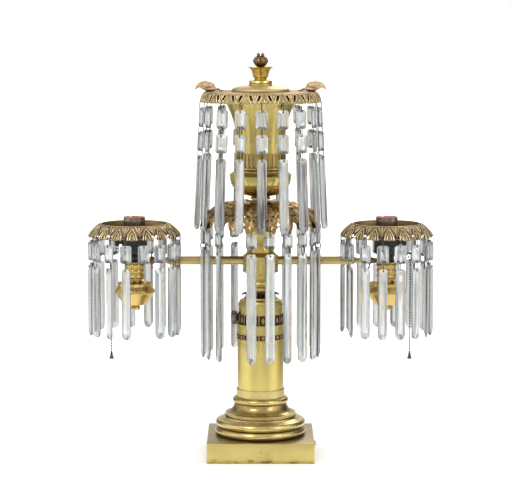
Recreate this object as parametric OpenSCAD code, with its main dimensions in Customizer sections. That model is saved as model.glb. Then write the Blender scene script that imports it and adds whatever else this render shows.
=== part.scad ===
// Two-light brass table lamp: a telescopic column, a font on a leaf corona, two burner arms
// and hanging strands of cut glass. Origin at the centre of the underside, front towards -Y.

/* [Plinth] */
// Width and depth of the square plinth
plinth_w = 148; // [120:1:180]
// Height of the plinth
plinth_h = 27.5; // [20:0.5:36]
// Sheet thickness of the plinth
plinth_wall = 3; // [2:0.5:4]
// Bore of the cord bushing in the plinth's side
cord_bore_r = 2.25; // [1.5:0.25:3]

/* [Base mouldings] */
// Radius over the lower double bead
bead_r = 63.5; // [56:0.5:68]
// Height of the double bead moulding
bead_h = 30.5; // [26:0.5:36]
// Radius of the flared moulding at its foot
cyma_r = 49; // [45:0.5:53]
// Height of the flared moulding
cyma_h = 14; // [11:0.5:18]
// Radius over the column's foot bead
foot_bead_r = 38.8; // [37:0.2:42]
// Height of the column's foot bead
foot_bead_h = 9; // [6:0.5:12]
// Height of the plain band above the foot bead
foot_band_h = 11.4; // [8:0.2:16]

/* [Column] */
// Outer radius of the sliding inner tube
slide_r = 30.8; // [28:0.2:33]
// Wall of the column tube and of its rings
column_wall = 1.25; // [1:0.05:2]
// Height of the plain column tube
column_h = 70.6; // [50:0.2:110]
// Height of the lower relief band
lower_band_h = 7.6; // [5:0.2:12]
// Height of the bright collar
collar_h = 13.4; // [8:0.2:20]
// Height of the upper relief band, which takes the clamp screw
upper_band_h = 14; // [13:0.5:20]
// Radius of the clamp screw's knob
knob_r = 9.6; // [6:0.2:11]
// Length of the clamp screw's knob
knob_len = 6.6; // [4:0.2:10]
// Length of sliding tube that shows above the column
slide_show = 12; // [6:0.5:40]

/* [Neck and hub] */
// Height of the stepped shoulder on the sliding tube
shoulder_h = 10.5; // [8:0.5:15]
// Radius over the crest of small leaves
crest_r = 25.3; // [22:0.1:28]
// Height of the crest
crest_h = 10.5; // [8:0.5:14]
// Height of the turned neck below the hub
neck_h = 22.5; // [16:0.5:30]
// Radius of the neck's bead
neck_r = 17; // [14:0.5:20]
// Radius of the arm hub
hub_r = 24.8; // [22:0.1:28]
// Height of the arm hub
hub_h = 30.9; // [26:0.1:36]
// Height of the stem between the hub and the corona
stem_h = 37.6; // [28:0.1:60]
// Waist radius of the stem
stem_r = 15.4; // [10:0.1:17]

/* [Corona] */
// Radius of the corona over its leaf tips
corona_r = 83.4; // [78:0.2:87]
// Height of the corona from leaf tip to crown
corona_h = 32; // [26:0.5:40]
// Thickness of the cast leaves
leaf_t = 2.4; // [1.8:0.1:3.5]
// Number of strands that hang from the corona
corona_n = 20; // [12:4:20]

/* [Font] */
// Largest radius of the font's bowl
bowl_r = 43.6; // [40:0.2:48]
// Height of the font's bowl and its foot
bowl_h = 44; // [38:0.5:50]
// Radius of the reeded band
reed_band_r = 35.4; // [34:0.2:38]
// Height of the reeded band with its fillets
reed_band_h = 25; // [18:0.5:32]
// Number of reeds
reed_n = 36; // [24:2:44]
// Radius of the font's body at its foot
body_foot_r = 32.6; // [31:0.2:35]
// Radius of the font's body at its lip
body_lip_r = 56.4; // [50:0.2:60]
// Height of the font's body
body_h = 81; // [60:1:110]
// Outer radius of the oil tank inside the body
tank_r = 29.5; // [24:0.5:30.5]
// Radius of the canopy over its scalloped edge
canopy_r = 82.8; // [78:0.2:88]
// Height of the canopy's leaf band
canopy_h = 15.8; // [12:0.2:20]
// Number of strands that hang from the canopy
canopy_n = 18; // [12:2:20]
// Radius of the filler hole under the lid
filler_r = 36; // [30:0.5:38]

/* [Lid and finial] */
// Radius of the lid
lid_r = 40; // [39:0.5:46]
// Height of the domed lid
lid_h = 8; // [6:0.5:14]
// Radius of the lid's collar
lid_collar_r = 16.2; // [13:0.2:20]
// Height of the lid's collar and neck
lid_collar_h = 10.4; // [8:0.2:16]
// Radius of the finial cup's petals
petal_r = 17.7; // [14:0.1:22]
// Height of the finial cup
petal_h = 15.3; // [11:0.1:20]
// Radius of the finial bud
bud_r = 10.6; // [8:0.1:13]
// Height of the finial bud above its cup
bud_h = 19; // [15:0.5:24]

/* [Arms and burners] */
// Distance from the column's axis to each burner's axis
arm_reach = 175; // [160:1:200]
// Outer radius of the arm tube
arm_r = 6; // [5:0.25:7]
// Wall of the arm tube
arm_wall = 1.6; // [1:0.1:2.4]
// Radius of the ring collar on each arm
arm_ring_r = 7.2; // [7.1:0.1:9]
// Radius of the burner sleeve
sleeve_r = 14; // [13:0.2:16]
// Height of the burner sleeve
sleeve_h = 24.6; // [18:0.2:32]
// Height of the ring of air vents
vent_h = 6.7; // [5.5:0.1:9]
// Number of air vents
vent_n = 8; // [6:1:10]
// Radius of the drip cup at its bulge
cup_r = 28.2; // [26:0.2:30]
// Height of the drip cup's bowl
cup_h = 30; // [24:0.5:40]
// Sheet thickness of the drip cup
cup_wall = 1.3; // [1:0.1:2]
// Outer radius of the draught tube that carries the drip cup
draught_r = 9; // [8:0.25:9.5]

/* [Lamp sockets] */
// Inner radius of the screw shell for a medium lamp base
shell_r = 13.3; // [13:0.1:14]
// Wall of the screw shell
shell_wall = 0.5; // [0.4:0.1:1]
// Outer radius of the socket body
socket_r = 17.9; // [17:0.1:20]
// Height of the socket body up to the gallery's seat
socket_h = 41.7; // [36:0.1:50]
// Height of the socket's threaded collar
socket_collar_h = 21; // [16:0.5:26]
// Wall of the threaded collar
socket_collar_wall = 1.2; // [1:0.1:2]
// Distance from the socket's axis to the pull chain's guide
chain_guide_x = 24.5; // [22.5:0.5:27]
// Distance from the socket's axis to the hanging chain
chain_hang_x = 33; // [31.5:0.5:36]
// Radius of a chain bead
chain_bead_r = 1.3; // [1:0.1:1.6]
// Distance from bead to bead
chain_pitch = 3.9; // [3.4:0.1:5]
// Number of beads on a pull chain
bead_n = 41; // [20:1:44]

/* [Galleries] */
// Radius of the gallery over its lower edge
gallery_r = 63.6; // [58:0.2:68]
// Distance from the gallery's lower edge in to its crest
crest_inset = 16.3; // [14:0.1:17.5]
// Height of the gallery's leaf band
gallery_h = 17.8; // [15:0.1:21]
// Thickness of the gallery's pierced band
gallery_t = 1.8; // [1.4:0.1:2.4]
// Number of strands that hang from each gallery
gallery_n = 16; // [12:4:16]

/* [Cut glass] */
// Width of the canopy's buttons
canopy_button_w = 17; // [14:0.5:19]
// Height of the canopy's buttons
canopy_button_h = 26; // [20:0.5:30]
// Length of the canopy's drops
canopy_drop_h = 101; // [80:1:101]
// Width of the corona's buttons
corona_button_w = 15.6; // [12:0.2:17]
// Height of the corona's buttons
corona_button_h = 20; // [16:0.5:24]
// Length of the corona's drops
corona_drop_h = 151; // [100:1:160]
// Width of the galleries' buttons
gallery_button_w = 16.4; // [13:0.2:17]
// Height of the galleries' buttons
gallery_button_h = 25; // [18:0.5:28]
// Length of the galleries' drops
gallery_drop_h = 98; // [70:1:110]
// Width of the long drops
drop_w = 13.6; // [11:0.2:14.4]
// Thickness of the glass
glass_t = 7; // [6:0.25:8]
// Thickness of the glass at its rim
rim_t = 1.8; // [1.2:0.1:2.4]
// Distance from an edge to its pin hole
hole_inset = 3; // [2.6:0.1:3.6]
// Radius of a pin hole
pin_hole_r = 1.3; // [1.2:0.05:1.4]
// Gap between two pieces of a strand
strand_gap = 7; // [6:0.2:9]
// Radius of the pin wire
wire_r = 0.4; // [0.3:0.05:0.5]
// Half the width of a wire link
link_w = 3.2; // [3:0.1:3.8]
// Distance from the corona's edge out to the tips of the canopy's drops
corona_clear = 6.5; // [5.5:0.1:8]

/* [Fits] */
// Clearance round an assembled rod or tube
fit_gap = 0.1; // [0.05:0.01:0.15]
// Clearance between the sliding tube and the column
slide_gap = 0.15; // [0.1:0.01:0.2]
// Clearance between two pieces that move apart
body_gap = 0.3; // [0.25:0.05:0.5]

/* [Hidden] */

// Smoothness of turned work, of holes and of small beads
turn_fn = 96;
hole_fn = 32;
bead_fn = 20;

// Base
bead_z = plinth_h;
cyma_z = bead_z + bead_h;
foot_z = cyma_z + cyma_h;
foot_band_z = foot_z + foot_bead_h;
column_z = foot_band_z + foot_band_h;
column_top = column_z + column_h;
collar_z = column_top + lower_band_h;
upper_band_z = collar_z + collar_h;
column_end = upper_band_z + upper_band_h;
slide_bore_r = slide_r + slide_gap;
column_r = slide_bore_r + column_wall;
foot_band_r = column_r + 1.5;
moulding_wall = 4;
rod_r = 5;
nut_r = 9;
nut_h = 6;
foot_plate_t = 3;
bushing_r = cord_bore_r + 1.45;
bushing_out = 3.4;
bushing_in = 2;

// Clamp screw
boss_r = 5;
boss_out = 2.2;
shank_r = 3;
clamp_z = upper_band_z + upper_band_h / 2 + 1;

// Sliding tube and everything that it carries
slide_wall = 1.5;
slide_z = column_z + body_gap;
shoulder_z = column_end + slide_show;
crest_z = shoulder_z + shoulder_h;
neck_z = crest_z + crest_h;
hub_z = neck_z + neck_h;
stem_z = hub_z + hub_h;
corona_z = stem_z + stem_h;
corona_top = corona_z + corona_h;
shoulder_r = 23;
pipe_r = 5;
pipe_wall = 1.2;
pipe_hole_r = pipe_r + fit_gap;
calyx_h = 11;
calyx_r = stem_r + 5.4;

// Corona
crown_r = 15;
crown_h = 3.6;
corona_arc_r = 45;
corona_arc_c = corona_r - corona_arc_r * cos(17);
corona_hang_r = corona_r - leaf_t;
corona_hang_z = corona_z + 4.4;
corona_slot_r = 4.2;

// Font
bowl_z = corona_top + crown_h;
band_z = bowl_z + bowl_h - 5.6;
body_z = band_z + reed_band_h;
body_wall = 1.5;
lip_z = body_z + body_h;
tank_wall = 1.2;
tank_flange_t = 1.2;
tank_z = body_z + 3;
canopy_plate_z = lip_z + tank_flange_t;
canopy_plate_t = 3;
canopy_top = canopy_plate_z + canopy_plate_t;
canopy_t = 2.2;
canopy_arc_r = 19.6;
canopy_edge_z = canopy_top + 1.4 - canopy_h;
canopy_hang_r = canopy_r - 1.1;
canopy_hang_z = canopy_edge_z + 2.4;

// Lid
lid_z = canopy_top + body_gap;
lid_rim_h = 1.7;
lid_wall = 1.5;
lid_collar_z = lid_z + lid_h;
petal_z = lid_collar_z + lid_collar_h;
bud_z = petal_z + petal_h;
stud_r = 2.4;
stud_hole_r = stud_r + fit_gap;

// Arms
arm_z = hub_z + 18.4;
arm_root = 17;
arm_taper_from = 47.7;
arm_taper_to = 31;
arm_tip_r = 2.5;
arm_ring_at = 60;
lead_r = 0.9;
lead_hole_r = 1.15;
lead_gap = 2;

// Burner, from its top down, and drip cup
burner_top = arm_z - 1.6;
flange_t = 1.1;
flange_r = sleeve_r + 2.5;
vent_top = burner_top - flange_t - sleeve_h + 1.1;
vent_z = vent_top - vent_h;
vent_ring_r = 10.5;
cup_rim_z = vent_z + 1.8;
cup_floor_z = cup_rim_z - cup_h;
cup_rim_r = cup_r - 4.2;
cup_foot_r = 16.7;
cup_boss_h = 10;
cup_boss_wall = 1.6;
draught_wall = 1.4;
cup_knob_r = 7.4;
cup_knob_h = 8;

// Socket
socket_z = burner_top;
neck_out_r = 10.7;
socket_wall = 2.4;
socket_neck_h = 7.6;
socket_cone_h = 5.6;
seat_z = socket_z + socket_h;
socket_floor_z = socket_z + 19.5;
socket_floor_t = 2.4;
contact_r = 5;
contact_h = 1.6;
contact_pocket_h = 2 * contact_h + 0.2;
contact_z = socket_floor_z - contact_pocket_h;
socket_hollow_h = contact_z - socket_floor_t - socket_z;
shell_out_r = shell_r + shell_wall;
collar_bore_r = shell_out_r + fit_gap;
socket_collar_r = collar_bore_r + socket_collar_wall;
socket_top = seat_z + socket_collar_h;
guide_z = seat_z - 15;
guide_r = 3.3;
guide_h = 9;
guide_bore_r = chain_bead_r + 0.8;
chain_top_z = guide_z + 3;
chain_bend_len = 22;
chain_wire_r = 0.45;
bell_r = 3.4;
bell_h = 9;

// Gallery
gallery_z = seat_z - 6.4;
gallery_crest_z = gallery_z + gallery_h;
spider_t = 2;
spider_w = 7;
spider_n = 4;
ledge_r = 38;
crest_wall = 1.8;
crest_ring_r = gallery_r - crest_inset;
gallery_hang_r = gallery_r - gallery_t / 2 - 0.2;
gallery_hang_z = gallery_z + 3.6;

// Strands: azimuth 0 is the front and grows towards +X
link_h = strand_gap + 2 * hole_inset;
button_drop = strand_gap + hole_inset;
front_drift = 3.4;
keep_off = 1.2;
corona_keep = asin((arm_r + drop_w / 2 + keep_off) / corona_hang_r);
gallery_keep = asin((arm_ring_r + gallery_button_w / 2 + keep_off) / gallery_hang_r);
lost_corona_strand = -27;
lost_left_drop = 11.25;
lost_right_drop = -73;

function arc(cx, cy, r, from, to, n = 8) =
    [for (i = [0:n]) [cx + r * cos(from + (to - from) * i / n), cy + r * sin(from + (to - from) * i / n)]];
function turn_to(a) = a > 180 ? a - 360 : a;
function clear_of_arm(a, keep) =
    abs(abs(a) - 90) < keep ? sign(a) * (abs(a) < 90 ? 90 - keep : 90 + keep) : a;
function canopy_azimuth(i) = turn_to(i * 360 / canopy_n) + 1;
function corona_azimuth(i) = clear_of_arm(turn_to((i + 0.5) * 360 / corona_n), corona_keep);
function gallery_azimuth(i) =
    let (a = turn_to((i + 0.5) * 360 / gallery_n))
    clear_of_arm(a + front_drift * cos(a), gallery_keep);
function near_arm(a) = abs(abs(a) - 90) < 20;
function twist(i, step, most) = most * sin(i * step + 40);

module turned(points) {
    rotate_extrude($fn = turn_fn) polygon(points);
}

module tube(z, h, outer, inner) {
    translate([0, 0, z]) difference() {
        cylinder(r = outer, h = h, $fn = turn_fn);
        translate([0, 0, -1]) cylinder(r = inner, h = h + 2, $fn = turn_fn);
    }
}

module bead_ring(z, r, bead, inner) {
    rotate_extrude($fn = turn_fn) difference() {
        union() {
            translate([r - bead, z]) circle(r = bead, $fn = hole_fn);
            translate([inner, z - bead]) square([r - bead - inner, 2 * bead]);
        }
        translate([inner - 2 * bead, z - 2 * bead]) square([2 * bead, 4 * bead]);
    }
}

module at_azimuth(a, r, z) {
    rotate([0, 0, a]) translate([0, -r, z]) children();
}

module radial_hole(r, depth) {
    rotate([90, 0, 0]) cylinder(r = r, h = depth, center = true, $fn = hole_fn);
}

module both_sides() {
    children();
    mirror([1, 0, 0]) children();
}

module at_burner() {
    translate([arm_reach, 0, 0]) children();
}

// Base
module plinth() {
    inner_w = plinth_w - 2 * plinth_wall;
    color("goldenrod") difference() {
        translate([-plinth_w / 2, -plinth_w / 2, 0]) cube([plinth_w, plinth_w, plinth_h]);
        translate([-inner_w / 2, -inner_w / 2, -1]) cube([inner_w, inner_w, plinth_h - plinth_wall + 1]);
        cylinder(r = rod_r + fit_gap, h = 2 * plinth_h, $fn = hole_fn);
        translate([plinth_w / 2 - plinth_wall - 1, 0, plinth_h / 2]) rotate([0, 90, 0])
            cylinder(r = bushing_r + fit_gap, h = plinth_wall + 2, $fn = hole_fn);
    }
}

module cord_bushing() {
    length = plinth_wall + bushing_out + bushing_in;
    color("goldenrod") translate([plinth_w / 2 - plinth_wall - bushing_in, 0, plinth_h / 2])
        rotate([0, 90, 0]) difference() {
            cylinder(r = bushing_r, h = length, $fn = hole_fn);
            translate([0, 0, -1]) cylinder(r = cord_bore_r, h = length + 2, $fn = hole_fn);
        }
}

module base_rod() {
    rod_z = plinth_h - plinth_wall - nut_h - 4;
    color("silver") translate([0, 0, rod_z])
        cylinder(r = rod_r, h = column_z + nut_h + 3 - rod_z, $fn = hole_fn);
}

module base_nuts() {
    color("silver") for (z = [plinth_h - plinth_wall - nut_h, column_z])
        translate([0, 0, z]) difference() {
            cylinder(r = nut_r, h = nut_h, $fn = 6);
            translate([0, 0, -1]) cylinder(r = rod_r + fit_gap, h = nut_h + 2, $fn = hole_fn);
        }
}

module bead_moulding() {
    bead = bead_h * 0.2;
    upper = bead * 0.93;
    inner = cyma_r - moulding_wall - 2;
    neck = cyma_r - 1;
    color("goldenrod") union() {
        bead_ring(bead_z + bead, bead_r, bead, inner);
        bead_ring(bead_z + 2 * bead + upper - 0.6, bead_r - 0.9, upper, inner);
        turned([[inner, bead_z + 2 * bead], [bead_r - 0.9 - upper, bead_z + 2 * bead],
            [bead_r - 0.9 - upper, bead_z + bead_h * 0.74], [cyma_r + 3.5, bead_z + bead_h * 0.82],
            [cyma_r + 3.2, bead_z + bead_h * 0.87], [neck, bead_z + bead_h * 0.87],
            [neck, cyma_z], [inner, cyma_z]]);
    }
}

module flared_moulding() {
    inner = column_r - moulding_wall - 2;
    sweep = cyma_h;
    color("goldenrod") turned(concat(
        [[inner, cyma_z], [cyma_r, cyma_z], [cyma_r, cyma_z + 1.2]],
        arc(cyma_r + 1.4, cyma_z + 1.2 + sweep, sweep, 262, 190),
        [[cyma_r + 1.4 - sweep, foot_z], [inner, foot_z]]));
}

module column_foot() {
    bead = foot_bead_h / 2;
    hollow_h = column_z - foot_z - 2 * foot_plate_t;
    color("goldenrod") difference() {
        union() {
            bead_ring(foot_z + bead, foot_bead_r, bead, rod_r + 6);
            translate([0, 0, foot_band_z]) cylinder(r = foot_band_r, h = foot_band_h, $fn = turn_fn);
        }
        translate([0, 0, column_z - foot_plate_t])
            cylinder(r = column_r + fit_gap, h = foot_plate_t + 1, $fn = turn_fn);
        translate([0, 0, foot_z - 1])
            cylinder(r = column_r - moulding_wall - 2, h = hollow_h + 1, $fn = turn_fn);
        cylinder(r = rod_r + fit_gap, h = column_z, $fn = hole_fn);
    }
}

module column_tube() {
    color("goldenrod") difference() {
        translate([0, 0, column_z - foot_plate_t])
            cylinder(r = column_r, h = column_h + foot_plate_t, $fn = turn_fn);
        translate([0, 0, column_z]) cylinder(r = slide_bore_r, h = column_h + 1, $fn = turn_fn);
        cylinder(r = rod_r + fit_gap, h = column_z + 1, $fn = hole_fn);
    }
}

module lower_band() {
    color("saddlebrown") tube(column_top, lower_band_h, column_r - 0.3, slide_bore_r);
}

module column_collar() {
    lip = 1.2;
    lip_r = column_r + 0.6;
    color("goldenrod") turned([[slide_bore_r, collar_z], [lip_r, collar_z], [lip_r, collar_z + lip],
        [column_r, collar_z + lip + 0.6], [column_r, upper_band_z - lip - 1.4],
        [column_r + 1.1, upper_band_z - lip - 0.6], [column_r + 1.1, upper_band_z],
        [slide_bore_r, upper_band_z]]);
}

module upper_band() {
    color("saddlebrown") difference() {
        union() {
            translate([0, 0, upper_band_z]) cylinder(r = column_r - 0.2, h = upper_band_h, $fn = turn_fn);
            translate([0, 0, clamp_z]) rotate([0, -90, 0])
                cylinder(r = boss_r, h = column_r + boss_out, $fn = hole_fn);
        }
        translate([0, 0, upper_band_z - 1]) cylinder(r = slide_bore_r, h = upper_band_h + 2, $fn = turn_fn);
        translate([0, 0, clamp_z]) rotate([0, -90, 0])
            cylinder(r = shank_r + fit_gap, h = column_r + boss_out + 1, $fn = hole_fn);
    }
}

module clamp_screw() {
    knob_at = column_r + boss_out + body_gap;
    tip_at = slide_r + body_gap;
    grooves = 18;
    color("dimgray") translate([0, 0, clamp_z]) rotate([0, -90, 0]) difference() {
        union() {
            translate([0, 0, tip_at]) cylinder(r = shank_r, h = knob_at - tip_at + 1, $fn = hole_fn);
            translate([0, 0, knob_at]) cylinder(r = knob_r, h = knob_len, $fn = turn_fn);
        }
        for (i = [0:grooves - 1]) rotate([0, 0, i * 360 / grooves])
            translate([knob_r + 0.3, 0, knob_at + 0.8]) cylinder(r = 0.9, h = knob_len, $fn = 16);
    }
}

// Sliding tube, shoulder, neck and hub
module slide_tube() {
    color("goldenrod") tube(slide_z, shoulder_z - slide_z, slide_r, slide_r - slide_wall);
}

module shoulder_cap() {
    step = shoulder_h / 5;
    spigot_r = slide_r - slide_wall - fit_gap;
    color("goldenrod") turned(concat([[pipe_hole_r, shoulder_z - 6], [spigot_r, shoulder_z - 6],
        [spigot_r, shoulder_z], [slide_r + 0.7, shoulder_z], [slide_r + 0.7, shoulder_z + step],
        [slide_r - 0.8, shoulder_z + step], [slide_r - 0.8, shoulder_z + 1.6 * step]],
        arc(slide_r - 5.8, shoulder_z + 1.6 * step, 5, 0, 60, 4),
        [[shoulder_r + 1, shoulder_z + 4.2 * step], [shoulder_r, crest_z], [pipe_hole_r, crest_z]]));
}

module leaf_crest() {
    leaves = 16;
    foot_r = neck_r - 0.5;
    color("saddlebrown") difference() {
        turned([[pipe_hole_r, crest_z], [shoulder_r - 2, crest_z], [crest_r - 1.5, crest_z + crest_h * 0.35],
            [crest_r, crest_z + crest_h * 0.62], [crest_r - 1.2, crest_z + crest_h * 0.78],
            [foot_r + 2, crest_z + crest_h * 0.5], [foot_r, crest_z + crest_h * 0.6],
            [foot_r, neck_z], [pipe_hole_r, neck_z]]);
        for (i = [0:leaves - 1]) at_azimuth((i + 0.5) * 360 / leaves, crest_r, crest_z + crest_h * 0.3)
            cylinder(r = 1.7, h = crest_h, $fn = hole_fn);
    }
}

module turned_neck() {
    ring = neck_h / 5;
    color("goldenrod") union() {
        bead_ring(neck_z + 2.2 * ring, neck_r, ring * 0.7, pipe_hole_r);
        turned([[pipe_hole_r, neck_z], [neck_r - 0.6, neck_z], [neck_r - 0.6, neck_z + ring * 0.8],
            [neck_r - 3.4, neck_z + ring * 1.1], [neck_r - 3.4, neck_z + ring * 3.2],
            [neck_r - 1, neck_z + ring * 3.5], [neck_r - 1, neck_z + ring * 4.4],
            [neck_r + 0.2, neck_z + ring * 4.6], [neck_r + 0.2, hub_z], [pipe_hole_r, hub_z]]);
    }
}

module arm_hub() {
    chamfer = 2.8;
    crown = 5.6;
    color("goldenrod") difference() {
        turned([[pipe_hole_r, hub_z], [neck_r + 0.2, hub_z], [hub_r, hub_z + chamfer],
            [hub_r, stem_z - crown], [hub_r - 1.6, stem_z - crown + 1], [stem_r + 5, stem_z - 2],
            [stem_r + 3.2, stem_z], [pipe_hole_r, stem_z]]);
        both_sides() translate([arm_root, 0, arm_z]) rotate([0, 90, 0])
            cylinder(r = arm_r + fit_gap, h = hub_r, $fn = hole_fn);
        translate([0, 0, arm_z]) rotate([0, 90, 0])
            cylinder(r = arm_r - arm_wall, h = 2 * arm_root + 2, center = true, $fn = hole_fn);
    }
}

module stem() {
    flare = 3.2;
    color("goldenrod") turned(concat([[pipe_hole_r, stem_z], [stem_r + flare, stem_z]],
        [for (i = [1:9]) [stem_r + flare * pow(cos(i * 18), 2), stem_z + stem_h * i / 10]],
        [[stem_r + flare, corona_z], [pipe_hole_r, corona_z]]));
}

module stem_calyx() {
    leaves = 8;
    color("goldenrod") difference() {
        turned([[stem_r + 3.3, corona_z - calyx_h], [stem_r + 4.1, corona_z - calyx_h],
            [calyx_r, corona_z - calyx_h * 0.3], [calyx_r + 0.6, corona_z],
            [stem_r + 3.3, corona_z]]);
        for (i = [0:leaves - 1]) at_azimuth((i + 0.5) * 360 / leaves, stem_r + 4, corona_z - calyx_h)
            rotate([0, 45, 0]) cube([4, 8, 4], center = true);
    }
}

// Pierced leaf shells
module arched_shell(cx, cz, r, t, from_z, inner_r) {
    rotate_extrude($fn = turn_fn) intersection() {
        difference() {
            translate([cx, cz]) circle(r = r, $fn = turn_fn);
            translate([cx, cz]) circle(r = r - t, $fn = turn_fn);
        }
        translate([inner_r, from_z]) square([2 * r + cx, 2 * r]);
    }
}

module leaf_slot(inner, outer, z, h, r) {
    translate([0, -inner, z]) cylinder(r = r * 0.5, h = h, $fn = hole_fn);
    translate([0, 0, z]) linear_extrude(h)
        polygon([[-r * 0.5, -inner], [r * 0.5, -inner], [r, -outer], [-r, -outer]]);
}

module corona() {
    arc_c_z = corona_top - 1 - corona_arc_r;
    color("saddlebrown") difference() {
        union() {
            arched_shell(corona_arc_c, arc_c_z, corona_arc_r, leaf_t, corona_z, crown_r - 2);
            turned([[pipe_hole_r, corona_z], [crown_r + 3, corona_z], [crown_r - 2, corona_z + 5],
                [crown_r - 2, corona_top - 4], [crown_r, corona_top - 2], [crown_r, corona_top],
                [pipe_hole_r, corona_top]]);
        }
        for (i = [0:corona_n - 1]) {
            rotate([0, 0, i * 360 / corona_n])
                leaf_slot(corona_r * 0.58, corona_r + 2, corona_z - 1, corona_h + 2, corona_slot_r);
            at_azimuth(corona_azimuth(i), corona_hang_r, corona_hang_z) radial_hole(pin_hole_r, 16);
            at_azimuth((i + 0.5) * 360 / corona_n, corona_r * 0.5, corona_z)
                cylinder(r = 2.6, h = corona_h + 2, $fn = hole_fn);
        }
    }
}

// Feed pipe and font
module feed_pipe() {
    color("goldenrod") difference() {
        translate([0, 0, shoulder_z - 9])
            cylinder(r = pipe_r, h = tank_z + 3 - shoulder_z + 9, $fn = hole_fn);
        translate([0, 0, shoulder_z - 10])
            cylinder(r = pipe_r - pipe_wall, h = tank_z - shoulder_z + 20, $fn = hole_fn);
    }
}

module font_bowl() {
    foot_h = 5;
    hollow_z = bowl_z + bowl_h * 0.36;
    belly_z = bowl_z + bowl_h * 0.72;
    bowl_top = bowl_z + bowl_h - 5.6;
    sweep = bowl_r - crown_r;
    color("goldenrod") difference() {
        turned(concat([[0, bowl_z], [crown_r - 1, bowl_z], [crown_r - 1, bowl_z + foot_h * 0.3],
            [crown_r - 3, bowl_z + foot_h]],
            [for (i = [0:8]) [crown_r - 1 + sweep * sin(i * 90 / 8 + 2) * 0.995, bowl_z + foot_h
                + (belly_z - bowl_z - foot_h) * (1 - cos(i * 90 / 8))]],
            [[bowl_r, belly_z + 2], [reed_band_r + 4, bowl_top - 1], [reed_band_r + 1, bowl_top],
            [0, bowl_top]]));
        translate([0, 0, bowl_z - 1]) cylinder(r = pipe_hole_r, h = bowl_h + 2, $fn = hole_fn);
        translate([0, 0, hollow_z]) cylinder(r = body_foot_r - 4, h = bowl_h, $fn = turn_fn);
    }
}

module reeded_band() {
    fillet = 7;
    reed_h = reed_band_h - fillet;
    reed_r = PI * reed_band_r / reed_n * 0.9 / 2;
    core_r = reed_band_r - reed_r;
    inner = body_foot_r - 4;
    color("goldenrod") difference() {
        union() {
            turned([[inner, band_z], [reed_band_r + 1.6, band_z], [reed_band_r + 1.6, band_z + 2],
                [reed_band_r - 0.6, band_z + 2.8], [reed_band_r + 0.8, band_z + 4],
                [reed_band_r + 0.8, band_z + 5.4], [reed_band_r - 0.4, band_z + fillet],
                [core_r, band_z + fillet], [core_r, body_z], [inner, body_z]]);
            for (i = [0:reed_n - 1]) at_azimuth(i * 360 / reed_n, core_r, band_z + fillet)
                cylinder(r = reed_r, h = reed_h, $fn = 16);
        }
        translate([0, 0, band_z - 1]) cylinder(r = inner, h = reed_band_h + 2, $fn = turn_fn);
    }
}

// The font's body widens from its foot to its lip like a bell turned upside down
function body_r(f) = body_foot_r + 4 * f + (body_lip_r - body_foot_r - 4) * pow(f, 3.15);

module font_body() {
    steps = 10;
    color("goldenrod") turned(concat(
        [for (i = [0:steps]) [body_r(i / steps), body_z + body_h * i / steps]],
        [for (i = [steps:-1:0]) [body_r(i / steps) - body_wall, body_z + body_h * i / steps]]));
}

module oil_tank() {
    color("silver") difference() {
        union() {
            translate([0, 0, tank_z]) cylinder(r = tank_r, h = canopy_plate_z - tank_z, $fn = turn_fn);
            translate([0, 0, lip_z]) cylinder(r = body_lip_r - 0.5, h = tank_flange_t, $fn = turn_fn);
        }
        translate([0, 0, tank_z + tank_wall])
            cylinder(r = tank_r - tank_wall, h = canopy_plate_z - tank_z, $fn = turn_fn);
        translate([0, 0, tank_z - 1]) cylinder(r = pipe_hole_r, h = tank_wall + 2, $fn = hole_fn);
    }
}

module canopy() {
    arc_x = canopy_r - canopy_arc_r;
    slot_w = 1.8;
    slot_h = 8;
    slot_tilt = 24;
    slot_off = 5.4;
    scallop_r = 4;
    color("darkgoldenrod") difference() {
        union() {
            rotate_extrude($fn = turn_fn) intersection() {
                difference() {
                    translate([arc_x, canopy_edge_z]) circle(r = canopy_arc_r, $fn = turn_fn);
                    translate([arc_x, canopy_edge_z]) circle(r = canopy_arc_r - canopy_t, $fn = turn_fn);
                }
                translate([arc_x + 6, canopy_edge_z]) square([canopy_arc_r, canopy_h]);
            }
            tube(canopy_plate_z, canopy_plate_t, arc_x + 11.5, filler_r);
        }
        for (i = [0:canopy_n - 1]) {
            at_azimuth((i + 0.5) * 360 / canopy_n, canopy_r, canopy_edge_z - 1.6) radial_hole(scallop_r, 12);
            at_azimuth(canopy_azimuth(i), canopy_hang_r, canopy_hang_z) radial_hole(pin_hole_r, 8);
            for (side = [-1, 1])
                at_azimuth(i * 360 / canopy_n, canopy_r - 2, canopy_edge_z + canopy_h * 0.52)
                    translate([side * slot_off, 0, 0]) rotate([0, -side * slot_tilt, 0])
                        cube([slot_w, 12, slot_h], center = true);
        }
    }
}

// A bird's head and folded neck on the canopy's rim, beak outwards; x from the canopy's edge
module bird_ball(x, z, r) {
    translate([canopy_r + x, 0, canopy_top + z]) sphere(r = r, $fn = 20);
}

module bird_right() {
    color("darkgoldenrod") difference() {
        union() {
            hull() {
                bird_ball(-18.2, 4.6, 4.2);
                bird_ball(-10.2, 6.6, 6.4);
            }
            hull() {
                bird_ball(-10.2, 8, 6.6);
                bird_ball(-3.6, 9.6, 5.2);
            }
            hull() {
                bird_ball(-2.2, 9.6, 3.9);
                bird_ball(3.2, 8.2, 1.9);
            }
            hull() {
                bird_ball(3.2, 8.2, 1.9);
                bird_ball(6.9, 3.6, 0.8);
            }
            hull() {
                bird_ball(-17.2, 5.6, 3.4);
                bird_ball(-30.8, 1.9, 1.3);
            }
        }
        translate([canopy_r - 42.8, -20, canopy_top - 20]) cube([60, 40, 20]);
        arched_cut();
    }
}

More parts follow.
